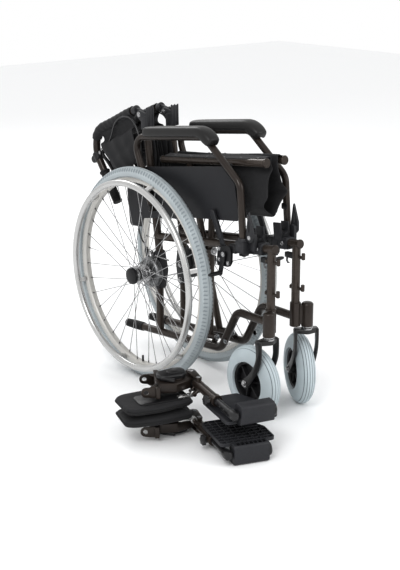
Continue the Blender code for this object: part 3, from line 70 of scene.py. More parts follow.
# Studio. A white floor and white air all round, with one large soft light from the front left
# of the picture, a weaker one from the front and one from the rear.
FLOOR_WHITE = (0.92, 0.925, 0.93, 1.0)
FLOOR_SIZE = 14.0
FLOOR_Z = -0.0004
LIGHTS_AIM = Vector((0.1, 0.1, 0.35))
world = bpy.data.worlds.new("studio_air")
bpy.context.scene.world = world
world.use_nodes = True
air = world.node_tree.nodes["Background"]
air.inputs["Color"].default_value = (1.0, 1.0, 1.0, 1.0)
air.inputs["Strength"].default_value = 1.0
bpy.context.scene.view_settings.view_transform = "Standard"
bpy.context.scene.view_settings.gamma = 0.86

bpy.ops.mesh.primitive_plane_add(size=FLOOR_SIZE, location=(0.0, 0.0, FLOOR_Z))
floor = bpy.context.object
floor.name = "studio_floor"
floor_paint = bpy.data.materials.new("studio_white")
floor_paint.use_nodes = True
floor_shader = floor_paint.node_tree.nodes["Principled BSDF"]
floor_shader.inputs["Base Color"].default_value = FLOOR_WHITE
floor_shader.inputs["Roughness"].default_value = 0.75
floor.data.materials.append(floor_paint)


def soft_light(name, place, power, size):
    """An area light that faces the chair."""
    bpy.ops.object.light_add(type="AREA", location=place)
    lamp = bpy.context.object
    lamp.name = name
    lamp.data.energy = power
    lamp.data.shape = "DISK"
    lamp.data.size = size
    lamp.rotation_euler = (LIGHTS_AIM - Vector(place)).to_track_quat("-Z", "Y").to_euler()


soft_light("key_light", (-2.6, -1.6, 3.0), 62.0, 1.8)
soft_light("front_light", (1.6, -3.2, 1.8), 24.0, 1.6)
soft_light("rear_light", (0.8, 2.8, 2.6), 30.0, 1.6)


# Rear tyres. Solid grey rubber on 24 inch wheels, pressed onto the rims. The tread is a plain
# middle band between two rows of small shoulder blocks, with a smooth sidewall below. Its notches
# and middle grooves are coloured a darker grey, as painted shade.
X = Vector((1.0, 0.0, 0.0))
Y = Vector((0.0, 1.0, 0.0))
Z = Vector((0.0, 0.0, 1.0))
PLACES = {
    "left": Matrix.Translation(MOVE),
    "right": Matrix.Translation(MOVE) @ Matrix.Diagonal((-1.0, 1.0, 1.0, 1.0)),
}
AXLE_Z = 0.305
WHEEL_X = 0.1108
AXLE = Vector((0.0, 0.0, AXLE_Z))
TYRE_WIDTH = 0.034
TYRE_SEAT_R = 0.2790
TREAD_GROOVE_X = 0.0042
TREAD_EDGE_X = 0.0150
TREAD_LOW_R = 0.292
TREAD_BLOCKS = 168
NOTCH_DEPTH = 0.0032


def only(piece):
    """Selects the piece alone and makes it active."""
    bpy.ops.object.select_all(action="DESELECT")
    piece.select_set(True)
    bpy.context.view_layer.objects.active = piece
    return piece


def bare(name, points, edges, faces=()):
    """A mesh object from points, alone in the selection."""
    mesh = bpy.data.meshes.new(name)
    mesh.from_pydata([tuple(point) for point in points], list(edges), list(faces))
    made = bpy.data.objects.new(name, mesh)
    bpy.context.scene.collection.objects.link(made)
    return only(made)


def cleaned(merge=None, angle=None):
    """Merges the active mesh's doubles, turns its faces outwards and smooths it below an angle."""
    bpy.ops.object.mode_set(mode="EDIT")
    bpy.ops.mesh.select_all(action="SELECT")
    if merge:
        bpy.ops.mesh.remove_doubles(threshold=merge)
    bpy.ops.mesh.normals_make_consistent(inside=False)
    bpy.ops.object.mode_set(mode="OBJECT")
    if angle:
        bpy.ops.object.shade_smooth_by_angle(angle=math.radians(angle))


def applied(piece, kind, **settings):
    """Adds a modifier with its settings to the active piece and applies it."""
    modifier = piece.modifiers.new(kind.lower(), kind)
    for label, value in settings.items():
        setattr(modifier, label, value)
    bpy.ops.object.modifier_apply(modifier=modifier.name)


def lathe(name, profile, centre, axis, steps, angle=34.0, ring=False):
    """Turn (radius, along) points about an axis; a ring's profile closes on itself."""
    axis = Vector(axis).normalized()
    side = Z if abs(axis.z) < 0.9 else X
    side = (side - axis * side.dot(axis)).normalized()
    centre = Vector(centre)
    points = [centre + axis * along + side * radius for radius, along in profile]
    edges = [(k, k + 1) for k in range(len(points) - 1)]
    if ring:
        edges.append((len(points) - 1, 0))
    made = bare(name, points, edges)
    bpy.ops.object.mode_set(mode="EDIT")
    bpy.ops.mesh.select_all(action="SELECT")
    bpy.ops.mesh.spin(steps=steps, angle=math.tau, center=centre, axis=axis)
    cleaned(0.00001, angle)
    return made


def joined(name, pieces):
    """One object from several; each keeps its own material."""
    bpy.ops.object.select_all(action="DESELECT")
    for piece in pieces:
        piece.select_set(True)
    bpy.context.view_layer.objects.active = pieces[0]
    bpy.ops.object.join()
    made = bpy.context.object
    made.name = name
    return made


def painted(piece, *paints):
    """The piece with its materials; its faces wear the first."""
    piece.data.materials.clear()
    for paint in paints:
        piece.data.materials.append(paint)
    return piece


def copied(piece, name, matrix):
    """A copy of the piece with its own mesh, moved, turned or mirrored by the matrix."""
    made = piece.copy()
    made.data = piece.data.copy()
    made.name = name
    made.data.name = name
    bpy.context.scene.collection.objects.link(made)
    made.data.transform(matrix)
    if matrix.determinant() < 0:
        made.data.flip_normals()
    return made


def stand(piece, name, matrix, body, node):
    """A copy of the piece in its place, for its CAD node; it rides on its body, if it has only one."""
    made = copied(piece, name, matrix)
    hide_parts(node)
    if body:
        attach(made, body)
    return made


def both_sides(piece, name, body, node, places=PLACES):
    """The piece at its place on the left and on the right."""
    made = []
    for side, matrix in places.items():
        side_body = side + "_" + body if body else None
        made.append(stand(piece, side + "_" + name, matrix, side_body, side + "_" + node))
    bpy.data.objects.remove(piece, do_unlink=True)
    return made


def new_group(name, inputs, outputs):
    """An empty shader group with named sockets, and its two ends."""
    made = bpy.data.node_groups.new(name, "ShaderNodeTree")
    for label, kind, value in inputs:
        socket = made.interface.new_socket(label, in_out="INPUT", socket_type=kind)
        if value is not None:
            socket.default_value = value
    for label in outputs:
        made.interface.new_socket(label, in_out="OUTPUT", socket_type="NodeSocketFloat")
    return made, made.nodes.new("NodeGroupInput"), made.nodes.new("NodeGroupOutput")


def feed(tree, socket, value):
    """Links another node's output into the socket, or stores a plain value there."""
    if isinstance(value, bpy.types.NodeSocket):
        tree.links.new(value, socket)
    else:
        socket.default_value = value


def set_inputs(tree, made, values):
    """Feeds a node's inputs by name, with underscores for the spaces."""
    for label, value in values.items():
        feed(tree, made.inputs[label.replace("_", " ")], value)


def add_node(tree, kind, group=None, **values):
    """A shader node, or a copy of a group, with its inputs fed by name."""
    made = tree.nodes.new("ShaderNode" + kind)
    if group:
        made.node_tree = group
    set_inputs(tree, made, values)
    return made


def maths(tree, operation, *values):
    """A Math node's result; the values are sockets or numbers."""
    made = tree.nodes.new("ShaderNodeMath")
    made.operation = operation
    for socket, value in zip(made.inputs, values):
        feed(tree, socket, value)
    return made.outputs[0]


grain_group, grain_in, grain_out = new_group(
    "surface_grain",
    (("Position", "NodeSocketVector", None), ("Grain per metre", "NodeSocketFloat", 900.0),
     ("Blotch per metre", "NodeSocketFloat", 14.0)),
    ("Height", "Blotch"))
for scale, detail, result in (("Grain per metre", 3.0, "Height"), ("Blotch per metre", 4.0, "Blotch")):
    noise = add_node(grain_group, "TexNoise", Vector=grain_in.outputs["Position"],
                     Scale=grain_in.outputs[scale], Detail=detail)
    grain_group.links.new(noise.outputs[0], grain_out.inputs[result])

wear_group, wear_in, wear_out = new_group(
    "edge_wear", (("Position", "NodeSocketVector", None), ("Amount", "NodeSocketFloat", 0.5)), ("Mask",))
shape = add_node(wear_group, "NewGeometry")
sharp = add_node(wear_group, "MapRange", Value=shape.outputs["Pointiness"], From_Min=0.53, From_Max=0.62)
scuff = add_node(wear_group, "TexNoise", Vector=wear_in.outputs["Position"], Scale=160.0, Detail=5.0)
scuffed = maths(wear_group, "MULTIPLY", sharp.outputs["Result"], scuff.outputs[0])
feed(wear_group, wear_out.inputs["Mask"], maths(wear_group, "MULTIPLY", scuffed, wear_in.outputs["Amount"]))


def mixed(tree, factor, first, second):
    """A colour mix; the second colour is a plain one."""
    made = tree.nodes.new("ShaderNodeMix")
    made.data_type = "RGBA"
    tree.links.new(factor, made.inputs["Factor"])
    first_input, second_input = [found for found in made.inputs if found.type == "RGBA"]
    tree.links.new(first, first_input)
    second_input.default_value = (*second, 1.0)
    return [found for found in made.outputs if found.type == "RGBA"][0]


def two_tones(tree, factor, start, dark, light):
    """A ramp from a dark to a light colour over the middle of the factor's range."""
    ramp = add_node(tree, "ValToRGB", Fac=factor)
    for element, position, colour in zip(ramp.color_ramp.elements, (start, 1 - start), (dark, light)):
        element.position = position
        element.color = (*colour, 1.0)
    return ramp.outputs["Color"]


def new_material(name):
    """A material with nodes, its tree and its shader."""
    made = bpy.data.materials.new(name)
    made.use_nodes = True
    return made, made.node_tree, made.node_tree.nodes["Principled BSDF"]


def coated(name, colour, roughness, metallic=0.0, grain=900.0, depth=0.00005, tone=0.12, wear=0.3,
           worn=(0.35, 0.34, 0.33), coat=0.0, flakes=0.0, specular=0.5):
    """A paint, plastic, rubber or metal with grain, slow changes of tone and lighter worn edges."""
    made, tree, shader = new_material(name)
    where = tree.nodes.new("ShaderNodeTexCoord").outputs["Object"]
    surface = add_node(tree, "Group", grain_group, Position=where, Grain_per_metre=grain).outputs
    edges = add_node(tree, "Group", wear_group, Position=where, Amount=wear).outputs
    shade = two_tones(tree, surface["Blotch"], 0.35, [c * (1 - tone) for c in colour],
                      [min(1.0, c * (1 + tone)) for c in colour])
    if flakes:
        # Metallic flakes in the paint, seen as fine lighter points
        flake = add_node(tree, "TexVoronoi", Vector=where, Scale=2600.0)
        dots = add_node(tree, "MapRange", Value=flake.outputs["Distance"], From_Min=0.22, From_Max=0.05,
                        To_Max=flakes)
        shade = mixed(tree, dots.outputs["Result"], shade, (0.30, 0.24, 0.20))
    rough = add_node(tree, "MapRange", Value=surface["Blotch"], To_Min=max(0.03, roughness - 0.08),
                     To_Max=min(1.0, roughness + 0.08))
    bump = add_node(tree, "Bump", Height=surface["Height"], Distance=depth, Strength=0.6)
    set_inputs(tree, shader, {
        "Base Color": mixed(tree, edges["Mask"], shade, worn), "Roughness": rough.outputs["Result"],
        "Normal": bump.outputs["Normal"], "Metallic": metallic, "Coat Weight": coat, "Coat Roughness": 0.18,
        "Specular IOR Level": specular})
    return made


def tyre_section(width, inner, outer, grooves, groove_half, groove_depth, power=0.42):
    """Round section of a tyre with grooves in its tread, as (radius, along) points."""
    half = width / 2
    stops = [half * math.sin(math.radians(degrees)) for degrees in range(-90, 91, 6)]
    for groove in grooves:
        stops = [stop for stop in stops if abs(stop - groove) > groove_half * 1.3]
        stops += [groove + groove_half * share for share in (-1.0, -0.6, 0.6, 1.0)]
    stops.sort()
    section = [(inner - 0.0030, -half * 0.55)]
    for along in stops:
        radius = inner + (outer - inner) * max(0.0, 1 - (along / half) ** 2) ** power
        if any(abs(along - groove) < groove_half * 0.8 for groove in grooves):
            radius -= groove_depth
        section.append((radius, along))
    section.append((inner - 0.0030, half * 0.55))
    return section


def on_tread(point):
    """A tyre point's arm from the axle, distance from the tyre's middle, and place in thirds of a block."""
    arm = point - AXLE
    shift = 1 if arm.x > WHEEL_X else 0
    return arm, abs(arm.x - WHEEL_X), math.atan2(arm.y, arm.z) / math.tau * TREAD_BLOCKS * 3 + shift


tyre_rubber = coated("grey_tyre_rubber", (0.41, 0.450, 0.468), 0.62, grain=800.0, depth=0.00007, tone=0.06,
                     wear=0.15, worn=(0.55, 0.60, 0.62))
tread_rubber = coated("grey_tread_rubber", (0.33, 0.365, 0.380), 0.66, grain=700.0, depth=0.00010,
                      tone=0.08, wear=0.3, worn=(0.44, 0.48, 0.50))
# A darker grey for the tread's notches and middle grooves: painted shade in these recesses
painted_tread_recess_shade = coated("painted_tread_recess_shade", (0.230, 0.258, 0.275), 0.72, grain=700.0, depth=0.00010, tone=0.08,
                      wear=0.2, worn=(0.34, 0.37, 0.39))
# A still darker grey for the caster tyres' grooves: painted shade in the grooves
painted_caster_groove_shade = coated("painted_caster_groove_shade", (0.155, 0.175, 0.190), 0.80, grain=700.0, depth=0.00010, tone=0.08,
                       wear=0.1, worn=(0.24, 0.26, 0.27))
section = tyre_section(TYRE_WIDTH, TYRE_SEAT_R, AXLE_Z, (-TREAD_GROOVE_X, TREAD_GROOVE_X), 0.0006, 0.0012)
tyre = lathe("tyre", section, AXLE + X * WHEEL_X, X, TREAD_BLOCKS * 3, 40.0, ring=True)
for vertex in tyre.data.vertices:
    arm, beside, spot = on_tread(vertex.co)
    if round(spot) % 3 == 0 and 0.0062 < beside < 0.0152:
        depth = NOTCH_DEPTH * min(1.0, (beside - 0.0060) / 0.003)
        vertex.co -= Vector((0.0, arm.y, arm.z)).normalized() * depth
painted(tyre, tyre_rubber, tread_rubber, painted_tread_recess_shade)
for face in tyre.data.polygons:
    arm, beside, spot = on_tread(face.center)
    if beside > TREAD_EDGE_X or math.hypot(arm.y, arm.z) < TREAD_LOW_R:
        continue
    # Faces in the notches and in the middle grooves take the darker grey of painted shade
    notched = math.floor(spot) % 3 == 0 and beside > 0.0090
    face.material_index = 2 if notched or abs(beside - TREAD_GROOVE_X) < 0.0005 else 1
both_sides(tyre, "rear_tyre", "wheel", "rear_tyre")


# Rear wheels. An anodised alloy rim is laced to the hub with 36 crossed steel spokes; each
# spoke's nipple stands out of the rim bed, and a black cap closes the quick-release axle.
SPOKES = 36
SPOKES_IN_SET = 4
SPOKE_R = 0.00105
SPOKE_SWEEP = math.radians(62.0)
NIPPLE_CIRCLE_R = 0.2630
FLANGE_CIRCLE_R = 0.0215
HUB_FLANGES = (0.0970, 0.1250)
alloy = coated("silver_alloy", (0.53, 0.53, 0.525), 0.28, 0.80, grain=2200.0, depth=0.00002, tone=0.04,
               wear=0.1, worn=(0.9, 0.9, 0.9))
rim_alloy = coated("satin_rim_alloy", (0.57, 0.56, 0.535), 0.40, 0.45, grain=2200.0, depth=0.00002,
                   tone=0.04, wear=0.1)
chrome = coated("bright_steel", (0.40, 0.40, 0.405), 0.24, 0.95, grain=1800.0, depth=0.00001, tone=0.06,
                wear=0.1, worn=(0.9, 0.9, 0.9))
dark_steel = coated("dark_steel", (0.16, 0.16, 0.165), 0.34, 0.85, depth=0.00003, wear=0.2,
                    worn=(0.5, 0.5, 0.5))
black_plastic = coated("black_plastic", (0.0105, 0.0105, 0.0115), 0.40, specular=0.35, grain=1300.0,
                       depth=0.00004, wear=0.25, worn=(0.10, 0.10, 0.11))


def rod(name, start, end, radius, soft=0.0006, steps=20, end_radius=None):
    """A round bar with softened ends."""
    start = Vector(start)
    length = (Vector(end) - start).length
    last = radius if end_radius is None else end_radius
    profile = [(0.0, 0.0), (radius - soft, 0.0), (radius, soft), (last, length - soft),
               (last - soft, length), (0.0, length)]
    return lathe(name, profile, start, Vector(end) - start, steps)


def repeated(piece, count, centre, axis, first=0.0):
    """Copies of a piece spread round an axis, joined into one."""
    made = []
    for index in range(count):
        turning = Matrix.Rotation(first + math.tau * index / count, 4, axis)
        matrix = Matrix.Translation(centre) @ turning @ Matrix.Translation(-Vector(centre))
        made.append(copied(piece, "twin", matrix))
    bpy.data.objects.remove(piece, do_unlink=True)
    return joined("repeated", made)


def mirrored(half, middle=()):
    """A closed section from its half above zero, with any points that lie on the middle line."""
    return half + [(radius, -along) for radius, along in half[::-1]] + list(middle)


def round_axle(x, radius, angle):
    """A point at a radius and an angle round the rear axle."""
    return AXLE + Vector((x, radius * math.sin(angle), radius * math.cos(angle)))


rim_section = mirrored([(0.2620, 0.0070), (0.2650, 0.0100), (0.2780, 0.0122), (0.2802, 0.0120),
                        (0.2802, 0.0108), (0.2745, 0.0092), (0.2715, 0.0060)], [(0.2612, 0.0)])
rim = painted(lathe("rim", rim_section, AXLE + X * WHEEL_X, X, 180, 30.0, ring=True), rim_alloy)
laced = []
for index in range(SPOKES_IN_SET):
    side = 1 if index % 2 else -1
    leading = 1 if index // 2 else -1
    rim_angle = math.tau * (index + 0.5) / SPOKES
    rim_end = round_axle(WHEEL_X + side * 0.003, NIPPLE_CIRCLE_R, rim_angle)
    hub_end = round_axle(HUB_FLANGES[index % 2] + leading * 0.0016, FLANGE_CIRCLE_R,
                         rim_angle + leading * SPOKE_SWEEP)
    inward = (hub_end - rim_end).normalized()
    nipple = rod("nipple", rim_end - inward * 0.001, rim_end + inward * 0.0085, 0.0021, 0.0004, 8, 0.0017)
    head = rod("head", hub_end - X * 0.0022 * leading, hub_end + X * 0.0012 * leading, 0.0020, 0.0004, 8)
    laced += [painted(rod("spoke", hub_end, rim_end, SPOKE_R, 0.0002, 8), chrome),
              painted(nipple, dark_steel), painted(head, chrome)]
spokes = repeated(joined("laced", laced), SPOKES // SPOKES_IN_SET, AXLE, X)
hub_section = [(0.0068, 0.0890), (0.0150, 0.0890), (0.0172, 0.0905), (0.0180, 0.0935), (0.0250, 0.0950),
               (0.0256, 0.0960), (0.0256, 0.0978), (0.0248, 0.0988), (0.0150, 0.1010), (0.0132, 0.1040),
               (0.0132, 0.1180), (0.0150, 0.1212), (0.0248, 0.1232), (0.0256, 0.1242), (0.0256, 0.1260),
               (0.0250, 0.1270), (0.0190, 0.1290), (0.0172, 0.1330), (0.0172, 0.1420), (0.0068, 0.1420)]
hub = painted(lathe("hub", hub_section, AXLE, X, 48, 30.0, ring=True), chrome)
cap_section = [(0.0, 0.1530), (0.0120, 0.1526), (0.0190, 0.1512), (0.0226, 0.1488), (0.0236, 0.1460),
               (0.0236, 0.1405), (0.0222, 0.1398), (0.0172, 0.1398)]
hub_cap = painted(lathe("hub_cap", cap_section, AXLE, X, 40, 30.0), black_plastic)
valve = rod("valve", AXLE + Vector((WHEEL_X, 0.0, -0.2620)), AXLE + Vector((WHEEL_X, 0.0, -0.2440)), 0.0030,
            0.0006, 12)
both_sides(joined("wheel", [rim, spokes, hub, hub_cap, painted(valve, black_plastic)]), "rear_wheel",
           "wheel", "rear_wheel")


# Handrims. Round alloy hoops for the rider's hands, stood off from the rims on six flat lugs
# that are welded to the hoop and screwed to the rim's outer face.
HANDRIM_X = 0.1537
HANDRIM_R = 0.2645
HOOP_TUBE_R = 0.0092
LUGS = 6


def plate(name, outline, first, second, low, high, soft, origin=(0.0, 0.0, 0.0), levels=2):
    """A flat outline in the plane of two directions, extruded across it, with softened edges."""
    first = Vector(first).normalized()
    second = Vector(second).normalized()
    across = first.cross(second).normalized()
    start = Vector(origin)
    corners = [start + first * a + second * b + across * low for a, b in outline]
    made = bare(name, corners, (), [tuple(range(len(corners)))])
    bpy.ops.object.mode_set(mode="EDIT")
    bpy.ops.mesh.select_all(action="SELECT")
    bpy.ops.mesh.extrude_region_move(TRANSFORM_OT_translate={"value": across * (high - low)})
    cleaned()
    if soft:
        applied(made, "BEVEL", width=soft, segments=levels, limit_method="ANGLE",
                angle_limit=math.radians(40.0))
    bpy.ops.object.shade_smooth_by_angle(angle=math.radians(35.0))
    return made


def side_plate(name, outline, low, high, soft, levels=2):
    """A plate seen from the chair's side, as (y, z) points, between two X values."""
    return plate(name, outline, Y, Z, low, high, soft, levels=levels)


def ring_of(radius, count):
    """Points evenly round a circle, as flat pairs."""
    angles = [math.tau * k / count for k in range(count)]
    return [(radius * math.cos(angle), radius * math.sin(angle)) for angle in angles]


hoop_section = [(HANDRIM_R + a, b) for a, b in ring_of(HOOP_TUBE_R, 16)]
hoop = lathe("hoop", hoop_section, AXLE + X * HANDRIM_X, X, 180, 60.0, ring=True)
lug_outline = [(0.1226, 0.2670), (0.1226, 0.2790), (0.1252, 0.2790), (0.1290, 0.2740), (0.1500, 0.2655),
               (0.1540, 0.2590), (0.1490, 0.2575), (0.1290, 0.2655), (0.1252, 0.2670)]
lug = plate("lug", lug_outline, X, Z, -0.0065, 0.0065, 0.0008, AXLE)
lugs = repeated(lug, LUGS, AXLE, X, math.tau * 0.25 / LUGS)
both_sides(painted(joined("handrim", [hoop, lugs]), alloy), "handrim", "wheel", "handrim")


# Drum brakes. A cast housing on the axle plate holds the shoes; a short arm on its inner face is
# pulled by the cable from the push handle, past an anchor that takes the cable's sleeve.
DRUM_X = (0.0600, 0.0880)
FINS = 8
PULL_END = (0.019, 0.356)
cast_alloy = coated("cast_alloy", (0.22, 0.225, 0.23), 0.42, 0.85, grain=500.0, depth=0.00014, tone=0.10,
                    worn=(0.7, 0.7, 0.7))


def at(x, pair):
    """A point at a distance from the chair's middle, from its (y, z) place in the side view."""
    return Vector((x, pair[0], pair[1]))


def disc_at(centre, radius, count=20):
    """Points round a circle about a flat place."""
    return [(centre[0] + a, centre[1] + b) for a, b in ring_of(radius, count)]


def hull(points):
    """Convex outline of flat points, counter-clockwise."""
    points = sorted(set((round(a, 7), round(b, 7)) for a, b in points))

    def half(ordered):
        kept = []
        for point in ordered:
            while len(kept) > 1:
                (ax, ay), (bx, by) = kept[-2], kept[-1]
                if (bx - ax) * (point[1] - ay) - (by - ay) * (point[0] - ax) > 1e-12:
                    break
                kept.pop()
            kept.append(point)
        return kept[:-1]

    return half(points) + half(points[::-1])


def strap(first, first_r, second, second_r, count=20):
    """Outline of a flat link with two round ends."""
    return hull(disc_at(first, first_r, count) + disc_at(second, second_r, count))


def bolt(name, place, along, radius, height):
    """A domed hexagon head on its washer, standing along a direction."""
    along = Vector(along).normalized()
    place = Vector(place)
    profile = [(0.0, -0.001), (radius, -0.001), (radius, height * 0.70), (radius * 0.80, height * 0.92),
               (radius * 0.45, height), (0.0, height)]
    head = lathe(name, profile, place, along, 6, 20.0)
    washer = rod(name, place - along * 0.0010, place + along * 0.0011, radius * 1.35, 0.0002)
    return painted(joined(name, [head, washer]), chrome)


drum_section = [(0.0, DRUM_X[0]), (0.0280, DRUM_X[0]), (0.0330, 0.0622), (0.0350, 0.0650), (0.0420, 0.0660),
                (0.0432, 0.0680), (0.0432, 0.0700), (0.0408, 0.0706), (0.0408, 0.0730), (0.0432, 0.0736),
                (0.0432, 0.0750), (0.0408, 0.0756), (0.0408, 0.0780), (0.0432, 0.0786), (0.0432, 0.0836),
                (0.0400, DRUM_X[1]), (0.0, DRUM_X[1])]
fin = plate("fin", [(0.0588, 0.0140), (0.0606, 0.0140), (0.0626, 0.0320), (0.0588, 0.0280)], X, Z, -0.0010,
            0.0010, 0.0003, AXLE)
anchor_outline = [(0.026, 0.330), (0.040, 0.338), (0.046, 0.366), (0.036, 0.368), (0.030, 0.344),
                  (0.020, 0.336)]
pull_outline = strap((0.004, AXLE_Z + 0.012), 0.0090, PULL_END, 0.0050)
brake_parts = [
    painted(lathe("housing", drum_section, AXLE, X, 56, 28.0), cast_alloy),
    painted(repeated(fin, FINS, AXLE, X), cast_alloy),
    painted(rod("axle_pin", AXLE + X * 0.0870, AXLE + X * 0.1440, 0.0060), chrome),
    painted(side_plate("pull_arm", pull_outline, 0.0560, 0.0598, 0.0006), dark_steel),
    painted(side_plate("anchor", anchor_outline, 0.0590, 0.0640, 0.0006), black_plastic),
    painted(rod("clevis", at(0.0560, PULL_END), at(0.0680, PULL_END), 0.0038), chrome),
    painted(rod("inner_wire", (0.0618, 0.0200, 0.3560), (0.0620, 0.0410, 0.3690), 0.0009, 0.0002, 8),
            chrome),
    painted(rod("reaction", (DRUM_X[0], 0.0020, 0.3480), (DRUM_X[0], -0.0600, 0.3480), 0.0026, 0.0006, 12),
            chrome),
    bolt("pivot_nut", AXLE + Vector((0.0560, 0.004, 0.012)), -X, 0.0055, 0.0050),
]
both_sides(joined("drum_brake", brake_parts), "drum_brake", "frame", "brake_drum")


# Casters. Each fork is a pressed crown with two swept arms under a bearing race, painted satin
# black. A ribbed black nylon hub turns on a through bolt and carries a grooved grey rubber tyre,
# whose grooves are coloured darker as painted shade.
BARREL_X = 0.0685
BARREL_Y = -0.484
BARREL_FOOT_Z = 0.2367
CASTER_R = 0.0975
CASTER_TRAIL = 0.058
CASTER_WIDTH = 0.050
CASTER_SEAT_R = 0.0572
CASTER_GROOVES = (-0.0140, -0.0070, 0.0, 0.0070, 0.0140)
CASTER_TURN = {"left": math.radians(27.0), "right": math.radians(1.0)}
FORK_HALF_X = 0.0268
FORK_PLATE = 0.0055
CASTER_PLACES = {}
for side, x in (("left", BARREL_X), ("right", -BARREL_X)):
    CASTER_PLACES[side] = (Matrix.Translation(MOVE) @ Matrix.Translation((x, BARREL_Y, 0.0))
                           @ Matrix.Rotation(-CASTER_TURN[side], 4, "Z"))
fork_black = coated("satin_black_paint", (0.0115, 0.0112, 0.0115), 0.32, 0.1, specular=0.42, grain=1400.0,
                    depth=0.00003, worn=(0.14, 0.14, 0.14), coat=0.2)
caster_rubber = coated("grey_caster_rubber", (0.47, 0.53, 0.555), 0.60, depth=0.00006, tone=0.05, wear=0.10,
                       worn=(0.62, 0.66, 0.68))


def widened(centre_line, widths):
    """Outline of a bar along a flat centre line, from its width at each point."""
    left, right = [], []
    count = len(centre_line)
    for index, (a, b) in enumerate(centre_line):
        before = centre_line[max(0, index - 1)]
        after = centre_line[min(count - 1, index + 1)]
        along = Vector((after[0] - before[0], after[1] - before[1])).normalized()
        half = widths[index] / 2
        left.append((a - along.y * half, b + along.x * half))
        right.append((a + along.y * half, b - along.x * half))
    return left + right[::-1]


def curve_through(points, steps):
    """Points along a smooth curve through the given ones."""
    points = [Vector(point) for point in points]
    ends = [points[0] * 2 - points[1]] + points + [points[-1] * 2 - points[-2]]
    found = []
    for a, b, c, d in zip(ends, ends[1:], ends[2:], ends[3:]):
        for k in range(steps):
            t = k / steps
            found.append(((b * 2) + (c - a) * t + (a * 2 - b * 5 + c * 4 - d) * t * t
                          + (b * 3 - a - c * 3 + d) * t ** 3) * 0.5)
    found.append(points[-1])
    return found


def box(low_a, low_b, high_a, high_b):
    """A rectangle's outline from two opposite corners."""
    return [(low_a, low_b), (high_a, low_b), (high_a, high_b), (low_a, high_b)]


top = BARREL_FOOT_Z - 0.0006
caster_centre = Vector((0.0, CASTER_TRAIL, CASTER_R))
arm_line = curve_through([(0.0070, top - 0.010, 0), (0.0045, top - 0.035, 0), (0.0060, top - 0.062, 0),
                          (0.0180, top - 0.092, 0), (0.0370, 0.1180, 0), (CASTER_TRAIL, CASTER_R, 0)], 5)
arm_widths = [0.0240 - 0.0060 * math.sin(math.pi * index / (len(arm_line) - 1))
              for index in range(len(arm_line))]
arm_outline = widened([(point.x, point.y) for point in arm_line], arm_widths)
outer_x = FORK_HALF_X + FORK_PLATE
fork_parts = []
for low in (-outer_x, FORK_HALF_X):
    fork_parts.append(side_plate("fork_arm", arm_outline, low, low + FORK_PLATE, 0.0016, levels=3))
    fork_parts.append(rod("axle_boss", caster_centre + X * low, caster_centre + X * (low + FORK_PLATE),
                          0.0122, 0.0010, 28))
crown_outline = hull(disc_at((0.0, 0.002), 0.0170) + box(-outer_x, -0.001, outer_x, 0.017))
fork_parts.append(plate("crown", crown_outline, X, Y, top - 0.0200, top - 0.0070, 0.0030, levels=4))
race_profile = [(0.0, top - 0.008), (0.0150, top - 0.008), (0.0160, top - 0.006), (0.0160, top - 0.004),
                (0.0135, top - 0.0025), (0.0135, top), (0.0, top)]
fork = [painted(joined("fork", fork_parts), fork_black),
        painted(lathe("race", race_profile, (0, 0, 0), Z, 36), chrome),
        painted(rod("caster_axle", caster_centre - X * FORK_HALF_X, caster_centre + X * FORK_HALF_X, 0.0040),
                chrome)]
for sign in (-1, 1):
    fork.append(bolt("caster_bolt", caster_centre + X * (sign * outer_x), X * sign, 0.0068, 0.0058))
both_sides(joined("fork", fork), "caster_fork", "fork", "caster_fork", CASTER_PLACES)

hub_ring = mirrored([(0.0575, 0.0150), (0.0560, 0.0185), (0.0535, 0.0190), (0.0490, 0.0165),
                     (0.0475, 0.0120), (0.0470, 0.0035)])
boss_ring = mirrored([(0.0150, 0.0100), (0.0122, 0.0245), (0.0105, 0.0262), (0.0044, 0.0262)])
rib = plate("rib", [(-0.0165, 0.0110), (0.0165, 0.0110), (0.0135, 0.0500), (-0.0135, 0.0500)], X, Z,
            -0.0017, 0.0017, 0.0005, caster_centre)
caster_hub = [
    lathe("outer_ring", hub_ring, caster_centre, X, 64, 30.0, ring=True),
    lathe("web", box(0.0100, -0.0022, 0.0490, 0.0022), caster_centre, X, 48, 30.0, ring=True),
    lathe("boss", boss_ring, caster_centre, X, 32, 30.0, ring=True),
    repeated(rib, 6, caster_centre, X, 0.3),
]
both_sides(painted(joined("caster_hub", caster_hub), black_plastic), "caster_wheel", "caster",
           "caster_wheel", CASTER_PLACES)
section = tyre_section(CASTER_WIDTH, CASTER_SEAT_R, CASTER_R, CASTER_GROOVES, 0.0011, 0.0011, 0.45)
caster_tyre = lathe("caster_tyre", section, caster_centre, X, 96, 40.0, ring=True)
painted(caster_tyre, caster_rubber, painted_caster_groove_shade)
# Faces in the caster tyre's grooves take the darker grey of painted shade
for face in caster_tyre.data.polygons:
    arm = face.center - caster_centre
    beside = min(abs(arm.x - groove) for groove in CASTER_GROOVES)
    if beside < 0.00075 and math.hypot(arm.y, arm.z) > 0.080:
        face.material_index = 1
both_sides(caster_tyre, "caster_tyre", "caster", "caster_tyre", CASTER_PLACES)


